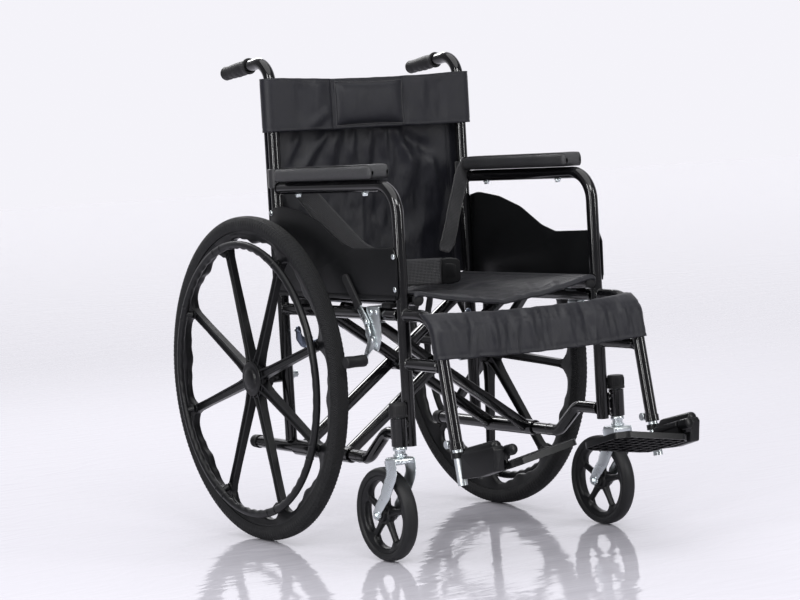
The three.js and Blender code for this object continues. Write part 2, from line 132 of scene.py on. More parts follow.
def slab(bm, outline, plane, low, high, soft=0.6, segments=2):
    spread = {"yz": lambda a, b, c: (c, a, b), "xz": lambda a, b, c: (a, c, b), "xy": lambda a, b, c: (a, b, c)}[plane]
    before = set(bm.verts)
    face = bm.faces.new([bm.verts.new(spread(p[0], p[1], low)) for p in outline])
    pushed = bmesh.ops.extrude_face_region(bm, geom=[face])["geom"]
    bmesh.ops.translate(bm, vec=spread(0, 0, high - low), verts=[g for g in pushed if isinstance(g, bmesh.types.BMVert)])
    fresh = [v for v in bm.verts if v not in before]
    faces = list({f for v in fresh for f in v.link_faces})
    bmesh.ops.recalc_face_normals(bm, faces=faces)
    if soft:
        caps = [f for f in faces if len(f.verts) == len(outline)]
        rims = list({e for f in caps for e in f.edges})
        bmesh.ops.bevel(bm, geom=rims, offset=soft, offset_type="OFFSET", segments=segments, profile=0.5,
                        affect="EDGES", material=-1, clamp_overlap=True)
    return [v for v in bm.verts if v not in before]


def rounded(corners, steps=5):  # a flat outline with a radius at every corner
    return [(p.x, p.y) for p in bent([(c[0], c[1], 0, c[2] if len(c) > 2 else 0) for c in corners], steps, closed=True)]


def block(bm, x0, x1, y0, y1, z0, z1, soft=1.0, segments=2):
    fresh = bmesh.ops.create_cube(bm, size=1.0)["verts"]
    bmesh.ops.scale(bm, vec=(abs(x1 - x0), abs(y1 - y0), abs(z1 - z0)), verts=fresh)
    bmesh.ops.translate(bm, vec=((x0 + x1) / 2, (y0 + y1) / 2, (z0 + z1) / 2), verts=fresh)
    before = set(bm.verts) - set(fresh)
    if soft:
        bmesh.ops.bevel(bm, geom=list({e for v in fresh for e in v.link_edges}), offset=soft, offset_type="OFFSET",
                        segments=segments, profile=0.5, affect="EDGES", material=-1, clamp_overlap=True)
    return [v for v in bm.verts if v not in before]


def along(start, direction):  # the lathe's X axis laid along a direction at a point
    turn = Vector((1, 0, 0)).rotation_difference(Vector(direction)).to_matrix().to_4x4()
    return Matrix.Translation(Vector(start)) @ turn


def bead(bm, centre, direction, radius, width=3.4, height=1.3):  # a weld bead round a tube
    profile = [(radius - 1.5, -width / 2)]
    profile += [(radius - 0.3 + height * sin(pi * k / 6), -width / 2 + width * k / 6) for k in range(7)]
    profile += [(radius - 1.5, width / 2), (radius - 1.5, -width / 2)]
    lathe(bm, profile, 28, along(centre, direction))


def hexBolt(bm, start, direction, across=12.0, height=5.0, washer=8.5):
    place = along(start, direction)
    lathe(bm, [(0, 0), (washer - 0.3, 0), (washer, 0.3), (washer, 1.2), (washer - 0.4, 1.5), (0, 1.5)], 28, place)
    r = across / 2 / cos(pi / 6)
    head = lathe(bm, [(0, 1.5), (r, 1.5), (r, height + 0.6), (r * 0.9, height + 1.5), (0, height + 1.5)], 6, place)
    return head


def domeRivet(bm, start, direction, radius=5.5, height=2.4):
    profile = [(0, -1.0), (radius, -1.0), (radius, 0)]
    profile += [(radius * cos(t * pi / 12), height * sin(t * pi / 12)) for t in range(1, 6)] + [(0, height)]
    lathe(bm, profile, 20, along(start, direction))


def finishPiece(name, bm, body, look, nodes=(), smooth=34):
    bmesh.ops.transform(bm, matrix=toFrame, verts=bm.verts)
    mesh = bpy.data.meshes.new(name)
    bm.to_mesh(mesh)
    bm.free()
    mesh.polygons.foreach_set("use_smooth", [True] * len(mesh.polygons))
    mesh.set_sharp_from_angle(angle=radians(smooth))
    obj = bpy.data.objects.new(name, mesh)
    bpy.context.scene.collection.objects.link(obj)
    mesh.materials.append(look)
    if body:
        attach(obj, body)
    if nodes:
        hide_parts(*nodes)
    return obj


def newGroup(name, inputs, outputs):
    group = bpy.data.node_groups.new(name, "ShaderNodeTree")
    for label, kind, value in inputs:
        socket = group.interface.new_socket(name=label, in_out="INPUT", socket_type=kind)
        if value is not None:
            socket.default_value = value
    for label, kind in outputs:
        group.interface.new_socket(name=label, in_out="OUTPUT", socket_type=kind)
    return group, group.nodes.new("NodeGroupInput"), group.nodes.new("NodeGroupOutput")


def addNode(tree, kind, settings=(), **values):
    node = tree.nodes.new(kind)
    for key, value in dict(settings).items():
        setattr(node, key, value)
    for key, value in values.items():
        node.inputs[int(key[1:]) if key[0] == "i" and key[1:].isdigit() else key].default_value = value
    return node


def math2(tree, operation, a, b=None):
    node = addNode(tree, "ShaderNodeMath", {"operation": operation})
    for i, value in enumerate((a, b)):
        if value is None:
            continue
        if isinstance(value, (int, float)):
            node.inputs[i].default_value = value
        else:
            tree.links.new(value, node.inputs[i])
    return node.outputs[0]


def grainGroup():  # moulded or painted skin: fine bumps, uneven gloss and handling marks
    tree, given, out = newGroup("surfaceGrain", [("Vector", "NodeSocketVector", None), ("Grain Size", "NodeSocketFloat", 900.0),
        ("Rough Low", "NodeSocketFloat", 0.3), ("Rough High", "NodeSocketFloat", 0.45),
        ("Tint A", "NodeSocketColor", None), ("Tint B", "NodeSocketColor", None)],
        [("Height", "NodeSocketFloat"), ("Roughness", "NodeSocketFloat"), ("Color", "NodeSocketColor")])
    link = tree.links.new
    fine = addNode(tree, "ShaderNodeTexNoise", Detail=3.0, Roughness=0.6)
    link(given.outputs["Vector"], fine.inputs["Vector"])
    link(given.outputs["Grain Size"], fine.inputs["Scale"])
    wide = addNode(tree, "ShaderNodeTexNoise", Scale=14.0, Detail=4.0, Roughness=0.55, Distortion=0.6)
    link(given.outputs["Vector"], wide.inputs["Vector"])
    rub = addNode(tree, "ShaderNodeTexNoise", Scale=55.0, Detail=5.0, Roughness=0.7)
    link(given.outputs["Vector"], rub.inputs["Vector"])
    mixed = math2(tree, "ADD", math2(tree, "MULTIPLY", wide.outputs["Fac"], 0.6), math2(tree, "MULTIPLY", rub.outputs["Fac"], 0.4))
    spread = addNode(tree, "ShaderNodeMapRange", {"clamp": True})
    link(mixed, spread.inputs["Value"])
    spread.inputs["From Min"].default_value, spread.inputs["From Max"].default_value = 0.35, 0.65
    link(given.outputs["Rough Low"], spread.inputs["To Min"])
    link(given.outputs["Rough High"], spread.inputs["To Max"])
    tint = addNode(tree, "ShaderNodeMix", {"data_type": "RGBA"})
    link(wide.outputs["Fac"], tint.inputs[0])
    link(given.outputs["Tint A"], tint.inputs[6])
    link(given.outputs["Tint B"], tint.inputs[7])
    link(fine.outputs["Fac"], out.inputs["Height"])
    link(spread.outputs[0], out.inputs["Roughness"])
    link(tint.outputs[2], out.inputs["Color"])
    return tree


def weaveGroup():  # over and under threads on the piece's own UV map, in metres, with painted shade that darkens the gaps between threads
    tree, given, out = newGroup("threadWeave", [("Vector", "NodeSocketVector", None), ("Pitch", "NodeSocketFloat", 0.0009),
        ("Tint A", "NodeSocketColor", None), ("Tint B", "NodeSocketColor", None)],
        [("Height", "NodeSocketFloat"), ("Color", "NodeSocketColor"), ("Roughness", "NodeSocketFloat")])
    link = tree.links.new
    parts = addNode(tree, "ShaderNodeSeparateXYZ")
    link(given.outputs["Vector"], parts.inputs[0])
    u = math2(tree, "DIVIDE", parts.outputs[0], given.outputs["Pitch"])
    v = math2(tree, "DIVIDE", parts.outputs[1], given.outputs["Pitch"])
    warp = math2(tree, "MULTIPLY", math2(tree, "SINE", math2(tree, "MULTIPLY", u, pi)), math2(tree, "SINE", math2(tree, "MULTIPLY", v, pi)))
    fine = math2(tree, "ABSOLUTE", warp)
    cloud = addNode(tree, "ShaderNodeTexNoise", Scale=38.0, Detail=5.0, Roughness=0.6)
    link(given.outputs["Vector"], cloud.inputs["Vector"])
    streak = addNode(tree, "ShaderNodeTexNoise", Scale=420.0, Detail=2.0)
    link(given.outputs["Vector"], streak.inputs["Vector"])
    height = math2(tree, "ADD", fine, math2(tree, "MULTIPLY", streak.outputs["Fac"], 0.35))
    # the tone follows a random cloud and is also painted lighter on the thread crests and darker in the gaps between
    # threads: painted shade in the weave
    tint = addNode(tree, "ShaderNodeMix", {"data_type": "RGBA"})
    link(math2(tree, "MULTIPLY", cloud.outputs["Fac"], math2(tree, "ADD", math2(tree, "MULTIPLY", fine, 0.5), 0.75)), tint.inputs[0])
    link(given.outputs["Tint A"], tint.inputs[6])
    link(given.outputs["Tint B"], tint.inputs[7])
    rough = addNode(tree, "ShaderNodeMapRange", {"clamp": True})
    link(cloud.outputs["Fac"], rough.inputs["Value"])
    rough.inputs["From Min"].default_value, rough.inputs["From Max"].default_value = 0.3, 0.7
    rough.inputs["To Min"].default_value, rough.inputs["To Max"].default_value = 0.36, 0.5
    link(height, out.inputs["Height"])
    link(tint.outputs[2], out.inputs["Color"])
    link(rough.outputs[0], out.inputs["Roughness"])
    return tree


groups = {"grain": grainGroup(), "weave": weaveGroup()}


def newMaterial(name):
    material = bpy.data.materials.new(name)
    material.use_nodes = True
    tree = material.node_tree
    return material, tree, tree.nodes["Principled BSDF"]


def grainMaterial(name, tintA, tintB, rough, grainSize, bump, metallic=0.0, coat=0.0, coatRough=0.05, sheen=0.0,
                  stretch=(1, 1, 1), specular=0.5):
    material, tree, shader = newMaterial(name)
    where = addNode(tree, "ShaderNodeTexCoord")
    placed = addNode(tree, "ShaderNodeMapping")
    placed.inputs["Scale"].default_value = stretch
    tree.links.new(where.outputs["Object"], placed.inputs["Vector"])
    grain = addNode(tree, "ShaderNodeGroup", {"node_tree": groups["grain"]})
    tree.links.new(placed.outputs[0], grain.inputs["Vector"])
    grain.inputs["Grain Size"].default_value = grainSize
    grain.inputs["Rough Low"].default_value, grain.inputs["Rough High"].default_value = rough
    grain.inputs["Tint A"].default_value = (*tintA, 1)
    grain.inputs["Tint B"].default_value = (*tintB, 1)
    raised = addNode(tree, "ShaderNodeBump", Strength=bump[0], Distance=bump[1])
    tree.links.new(grain.outputs["Height"], raised.inputs["Height"])
    tree.links.new(grain.outputs["Color"], shader.inputs["Base Color"])
    tree.links.new(grain.outputs["Roughness"], shader.inputs["Roughness"])
    tree.links.new(raised.outputs[0], shader.inputs["Normal"])
    shader.inputs["Metallic"].default_value = metallic
    shader.inputs["Coat Weight"].default_value = coat
    shader.inputs["Coat Roughness"].default_value = coatRough
    shader.inputs["Sheen Weight"].default_value = sheen
    shader.inputs["Specular IOR Level"].default_value = specular
    return material


def clothMaterial(name, tintA, tintB, pitch, bump, sheen):
    material, tree, shader = newMaterial(name)
    where = addNode(tree, "ShaderNodeUVMap")
    where.uv_map = "cloth"
    weave = addNode(tree, "ShaderNodeGroup", {"node_tree": groups["weave"]})
    tree.links.new(where.outputs[0], weave.inputs["Vector"])
    weave.inputs["Pitch"].default_value = pitch
    weave.inputs["Tint A"].default_value = (*tintA, 1)
    weave.inputs["Tint B"].default_value = (*tintB, 1)
    raised = addNode(tree, "ShaderNodeBump", Strength=bump[0], Distance=bump[1])
    tree.links.new(weave.outputs["Height"], raised.inputs["Height"])
    tree.links.new(weave.outputs["Color"], shader.inputs["Base Color"])
    tree.links.new(weave.outputs["Roughness"], shader.inputs["Roughness"])
    tree.links.new(raised.outputs[0], shader.inputs["Normal"])
    shader.inputs["Sheen Weight"].default_value = sheen
    shader.inputs["Sheen Roughness"].default_value = 0.4
    shader.inputs["Specular IOR Level"].default_value = 0.37
    return material


def treadMaterial(name, centre, radius, pitch, tintA, tintB):
    material, tree, shader = newMaterial(name)
    where = addNode(tree, "ShaderNodeTexCoord")
    placed = addNode(tree, "ShaderNodeMapping")
    placed.inputs["Location"].default_value = [-c for c in centre]
    tree.links.new(where.outputs["Object"], placed.inputs["Vector"])
    parts = addNode(tree, "ShaderNodeSeparateXYZ")
    tree.links.new(placed.outputs[0], parts.inputs[0])
    turn = math2(tree, "ARCTAN2", parts.outputs[1], parts.outputs[2])
    run = math2(tree, "MULTIPLY", turn, radius * pi / pitch)
    across = math2(tree, "MULTIPLY", parts.outputs[0], pi / pitch)
    knurl = math2(tree, "MULTIPLY", math2(tree, "SINE", math2(tree, "ADD", run, across)), math2(tree, "SINE",
            math2(tree, "SUBTRACT", run, across)))
    reach = math2(tree, "SQRT", math2(tree, "ADD", math2(tree, "POWER", parts.outputs[1], 2.0), math2(tree, "POWER",
            parts.outputs[2], 2.0)))
    band = addNode(tree, "ShaderNodeMapRange", {"clamp": True})
    tree.links.new(reach, band.inputs["Value"])
    band.inputs["From Min"].default_value, band.inputs["From Max"].default_value = radius - 0.022, radius - 0.016
    pattern = math2(tree, "MULTIPLY", math2(tree, "ABSOLUTE", knurl), band.outputs[0])
    grain = addNode(tree, "ShaderNodeGroup", {"node_tree": groups["grain"]})
    tree.links.new(placed.outputs[0], grain.inputs["Vector"])
    grain.inputs["Grain Size"].default_value = 700.0
    grain.inputs["Rough Low"].default_value, grain.inputs["Rough High"].default_value = 0.55, 0.75
    grain.inputs["Tint A"].default_value, grain.inputs["Tint B"].default_value = (*tintA, 1), (*tintB, 1)
    height = math2(tree, "ADD", pattern, math2(tree, "MULTIPLY", grain.outputs["Height"], 0.35))
    raised = addNode(tree, "ShaderNodeBump", Strength=1.0, Distance=0.0017)
    shader.inputs["Specular IOR Level"].default_value = 0.3
    tree.links.new(height, raised.inputs["Height"])
    tree.links.new(grain.outputs["Color"], shader.inputs["Base Color"])
    tree.links.new(grain.outputs["Roughness"], shader.inputs["Roughness"])
    tree.links.new(raised.outputs[0], shader.inputs["Normal"])
    return material


looks = {
    "powderCoat": grainMaterial("powderCoatBlack", (0.0016, 0.0016, 0.002), (0.0032, 0.0032, 0.004), (0.1, 0.18),
                                260.0, (0.10, 0.0004), coat=0.35, coatRough=0.04, specular=0.42),
    "wheelNylon": grainMaterial("wheelNylonBlack", (0.0038, 0.004, 0.0046), (0.0075, 0.0078, 0.0088), (0.3, 0.44),
                                1500.0, (0.3, 0.0003), specular=0.26),
    "gripPlastic": grainMaterial("gripPlasticBlack", (0.007, 0.007, 0.0078), (0.012, 0.012, 0.013), (0.48, 0.6),
                                 1700.0, (0.45, 0.0004), specular=0.28),
    "sheetPlastic": grainMaterial("sheetPlasticBlack", (0.003, 0.0032, 0.0036), (0.0055, 0.0058, 0.0065), (0.28, 0.4),
                                  1100.0, (0.14, 0.0003), specular=0.24),
    "padSkin": grainMaterial("padSkinBlack", (0.017, 0.0173, 0.019), (0.034, 0.0345, 0.037), (0.42, 0.56), 430.0,
                             (1.0, 0.0016), specular=0.55),
    "zinc": grainMaterial("zincPlate", (0.5, 0.55, 0.57), (0.74, 0.78, 0.79), (0.2, 0.4), 420.0, (0.12, 0.0004), metallic=1.0),
    "blueSteel": grainMaterial("bluedSteel", (0.12, 0.14, 0.19), (0.22, 0.25, 0.31), (0.26, 0.42), 300.0, (0.15, 0.0004), metallic=1.0),
    "nylonCloth": clothMaterial("blackNylonCloth", (0.0024, 0.0026, 0.0046), (0.006, 0.0063, 0.0115), 0.0009, (0.4, 0.0002), 0.10),
    "webbing": clothMaterial("beltWebbing", (0.011, 0.011, 0.0125), (0.034, 0.034, 0.038), 0.0026, (0.9, 0.0008), 0.35),
    "thread": grainMaterial("seamThread", (0.008, 0.008, 0.01), (0.018, 0.018, 0.022), (0.4, 0.5), 900.0, (0.3, 0.0002), sheen=0.1),
}
print("materials ready")


def handleAt(y):
    return chair["handleZ"] - (y - chair["gripY"]) * math.tan(radians(chair["gripFall"]))


def hangerY(z):
    return -526 - (432 - z) * 0.19


def sideFrame(name, k):
    body, x, r = name + "_frame", k * chair["track"], chair["tubeRadius"]
    black = looks["powderCoat"]

    bm = bmesh.new()  # rear upright with its push handle and the axle sleeve
    sweep(bm, bent([(x, -22, 183.6), (x, -22, handleAt(-22), 42), (x, 118, handleAt(118))], 10), r)
    lathe(bm, [(7.2, -16), (12, -16), (12.4, -15.4), (12.4, 25.4), (12, 26), (7.2, 26), (7.2, -16)], 32,
          along((x, 0, 305), (k, 0, 0)))
    sweep(bm, [(x, -14, 305), (x, -4, 305)], 9, 20)
    bead(bm, (x, -22, 184.5), (0, 0, 1), r)
    finishPiece(name + "BackUpright", bm, body, black, [name + "_back_cane"])

    bm = bmesh.new()  # arm tube, front upright and the caster stem housing
    sweep(bm, bent([(x, -33.4, 657), (x, -426, 657, 52), (x, -426, 203.5)], 12), r)
    sweep(bm, [(x, -33.6, 657), (x, -37, 657)], 12.4, 28)
    bead(bm, (x, -34, 657), (0, 1, 0), r)
    hx, hy = k * 241, -434
    lathe(bm, [(7.6, 207), (13.6, 207), (14, 207.4), (14, 255.6), (13.6, 256), (7.6, 256), (7.6, 207)], 32,
          along((hx, hy, 0), (0, 0, 1)))
    for low, high in ((209, 222), (238, 251)):
        block(bm, k * (chair["track"] + 8), k * 232, -436, -428, low, high, 1.2)
    block(bm, k * (chair["track"] + 9), k * 231, -434, -430, 216, 245, 0.8)
    hexBolt(bm, (k * 228, -436, 245), (0, -1, 0), 8, 4, 5.5)
    finishPiece(name + "ArmTube", bm, body, black, [name + "_arm_tube"])

    bm = bmesh.new()  # ribbed cap over the stem nut
    lathe(bm, [(0, 276), (8, 274), (14.4, 257.2), (15.8, 257.4), (16.1, 258), (16.1, 262), (15.5, 262.6), (15.5, 277), (15.2, 279.6),
               (13.6, 281.6), (0, 282)], 40, along((hx, hy, 0), (0, 0, 1)))
    for i in range(24):
        a = tau * i / 24
        sweep(bm, [(hx + 15.5 * cos(a), hy + 15.5 * sin(a), 263.5), (hx + 15.5 * cos(a), hy + 15.5 * sin(a), 277)], 0.7, 6)
    finishPiece(name + "StemCap", bm, body, looks["gripPlastic"])

    bm = bmesh.new()  # seat rail
    sweep(bm, [(x, -33.4, 432), (x, -414.6, 432)], r)
    bead(bm, (x, -34.5, 432), (0, 1, 0), r)
    bead(bm, (x, -413.6, 432), (0, 1, 0), r)
    finishPiece(name + "SeatRail", bm, body, black, [name + "_seat_rail"])

    bm = bmesh.new()  # lower rail with its rise to the front upright
    sweep(bm, bent([(x, 94, 172), (x, -292, 172, 34), (x, -352, 222, 34), (x, -414.6, 222)], 10), r)
    bead(bm, (x, -413.6, 222), (0, 1, 0), r)
    for y in (-262, -284):
        bead(bm, (x, y, 172), (0, 1, 0), r, 2.4, 0.9)
    finishPiece(name + "LowerRail", bm, body, black, [name + "_lower_rail"])

    bm = bmesh.new()  # leg rest hanger, its spur and the clamp at its foot
    down = Vector((0, -0.187, -0.982))
    foot = Vector((x, hangerY(208), 208))
    sweep(bm, bent([(x, -437.4, 432), (x, -526, 432, 60), tuple(foot)], 12), r)
    sweep(bm, [(x, -437.4, 347), (x, hangerY(347) + 6, 347)], r - 0.3)
    for y in (-438.4, hangerY(347) + 12):
        bead(bm, (x, y, 347), (0, 1, 0), r)
    bead(bm, (x, -438.4, 432), (0, 1, 0), r)
    lathe(bm, [(9.9, 0), (12.2, 0), (12.6, 0.5), (12.6, 11.5), (12.2, 12), (9.9, 12), (9.9, 0)], 32,
          along(foot - down * 12, down))
    clamp = foot - down * 6
    block(bm, x - 6, x + 6, clamp.y + 9, clamp.y + 24, clamp.z - 5, clamp.z + 8, 1.5)
    finishPiece(name + "Hanger", bm, body, black, [name + "_hanger"])

    bm = bmesh.new()  # clamp bolt and arm pad bolts
    for s in (-1, 1):
        lathe(bm, [(0, 0), (6.4, 0), (7, 0.6), (7, 4.6), (6.4, 5.2), (0, 5.2)], 24, along((x + s * 6, clamp.y + 17,
                clamp.z + 2), (s, 0, 0)))
    sweep(bm, [(x - 9, clamp.y + 17, clamp.z + 2), (x + 9, clamp.y + 17, clamp.z + 2)], 2.6, 12)
    for y in (-100, -327):
        hexBolt(bm, (x, y, 646), (0, 0, -1), 9, 4.6, 6.6)
    finishPiece(name + "FrameBolts", bm, body, looks["zinc"])

    bm = bmesh.new()  # rear end cap of the lower rail
    lathe(bm, [(9, 94.4), (12.4, 94.4), (12.9, 95), (12.9, 100), (12.4, 100.6), (12.4, 104), (12.7, 104.6), (12.2, 114), (10.6, 117),
               (7, 118), (0, 118)], 32, along((x, 0, 172), (0, 1, 0)))
    finishPiece(name + "TipCap", bm, body, looks["gripPlastic"], [name + "_tip_cap"])


def handGrip(name, k):
    x = k * chair["track"]
    place = along((x, chair["gripY"], chair["handleZ"]), (0, cos(radians(6)), -sin(radians(6))))
    bm = bmesh.new()
    profile = [(11.6, 0), (14.6, 0), (15.4, 0.8), (15.4, 4.4), (14.4, 5.4), (13.6, 7), (13.2, 16)]
    profile += [(13.2 + 0.6 * sin(pi * t / 40), 16 + t) for t in range(4, 72, 3)]
    profile += [(13.4, 90), (12.2, 93), (9, 94), (0, 94)]
    lathe(bm, profile, 48)
    for v in bm.verts:  # finger waves underneath
        low = max(0.0, -v.co.z / 14)
        if 14 < v.co.x < 88:
            wave = abs(sin(pi * (v.co.x - 14) / 18.5))
            v.co.z -= low * (1.6 * wave - 0.4)
            v.co.y *= 1 + 0.05 * low
        v.co.y *= 0.97
    bmesh.ops.transform(bm, matrix=place, verts=bm.verts)
    finishPiece(name + "HandGrip", bm, name + "_frame", looks["gripPlastic"], [name + "_hand_grip"])


def armPad(name, k):
    pad = dict(width=50, low=667.4, high=696.2, back=-52, front=-378)
    x = k * chair["track"]
    bm = bmesh.new()
    bmesh.ops.create_grid(bm, x_segments=12, y_segments=40, size=0.5)
    top = list(bm.verts)
    bmesh.ops.scale(bm, vec=(pad["width"], pad["back"] - pad["front"], 1), verts=top)
    bmesh.ops.translate(bm, vec=(x, (pad["back"] + pad["front"]) / 2, pad["low"] + 1.5), verts=top)
    pushed = bmesh.ops.extrude_face_region(bm, geom=list(bm.faces))["geom"]
    lifted = [g for g in pushed if isinstance(g, bmesh.types.BMVert)]
    bmesh.ops.translate(bm, vec=(0, 0, pad["high"] - pad["low"] - 1.5), verts=lifted)
    bmesh.ops.recalc_face_normals(bm, faces=bm.faces)
    rim = [e for e in bm.edges if e.is_manifold and e.calc_face_angle(0) > 1]
    bmesh.ops.bevel(bm, geom=rim, offset=9, offset_type="OFFSET", segments=6, profile=0.5, affect="EDGES", material=-1)
    for v in bm.verts:  # rounded nose, slight crown
        t = max(0.0, (pad["front"] + 60 - v.co.y) / 60)
        v.co.x = x + (v.co.x - x) * (1 - 0.16 * t ** 4)
        if v.co.z > 680:
            v.co.z -= 3.4 * t ** 8 + 2.2 * max(0.0, (v.co.y - pad["back"] + 24) / 24) ** 3 + 1.6 * (1 - t) * min(1.0, t + 0.6)
        u = (v.co.x - x) / 25
        if v.co.z > 680:
            v.co.z -= 1.0 * u * u
    bmesh.ops.bisect_plane(bm, geom=list(bm.verts) + list(bm.edges) + list(bm.faces), plane_co=(x, 0, pad["low"] + 5.2), plane_no=(0, 0, 1))
    obj = finishPiece(name + "ArmPad", bm, name + "_frame", looks["padSkin"], [name + "_arm_pad"], 60)


def sidePanel(name, k):
    panel = dict(inner=224.9, thick=2.4)
    x = k * panel["inner"]
    curve = [(-17, 617, 3), (-54, 624, 60), (-121, 615, 90), (-189, 594, 90), (-253, 559, 70), (-296, 546.5, 40),
             (-424, 549, 8), (-433, 530, 4),
             (-432, 462, 6), (-420, 458.4, 4), (-17, 458.4, 2)]
    bm = bmesh.new()
    outline = rounded(curve, 8)
    slab(bm, outline, "yz", x, x + k * panel["thick"], 0.7)
    slab(bm, rounded([(-20, 458.6, 1), (-20, 466, 1), (-428, 466, 1), (-428, 458.6, 1)]), "yz", x + k * 2.2, x + k * 5.0, 1.0)
    sweep(bm, [(x + k * 1.2, a, b) for a, b in rounded(curve[:9], 8)[4:-4]], 1.5, 8)
    finishPiece(name + "SidePanel", bm, name + "_frame", looks["sheetPlastic"], [name + "_side_panel"])
    bm = bmesh.new()
    for y, z in ((-425, 534), (-425, 477), (-20.5, 612), (-20.5, 466)):
        domeRivet(bm, (k * 227.3 if z != 466 else k * 229.8, y, z), (k, 0, 0), 5.2, 2.2)
    finishPiece(name + "PanelRivets", bm, name + "_frame", looks["zinc"])


for sideName, k in sides:
    sideFrame(sideName, k)
    handGrip(sideName, k)
    armPad(sideName, k)
    sidePanel(sideName, k)
print("side frames ready")


def rimReach(turn, count):  # how far the rim's inner edge stands in from its plain circle
    t = (turn * count / tau) % 1.0          # 0 at a spoke, 0.5 mid window
    side = min(t, 1 - t)
    fillet = 23 * math.exp(-((side / 0.085) ** 2))
    hump = 11 * math.exp(-(((side - 0.5) / 0.10) ** 2)) + 4 * math.exp(-(((side - 0.33) / 0.05) ** 2))
    return fillet + hump


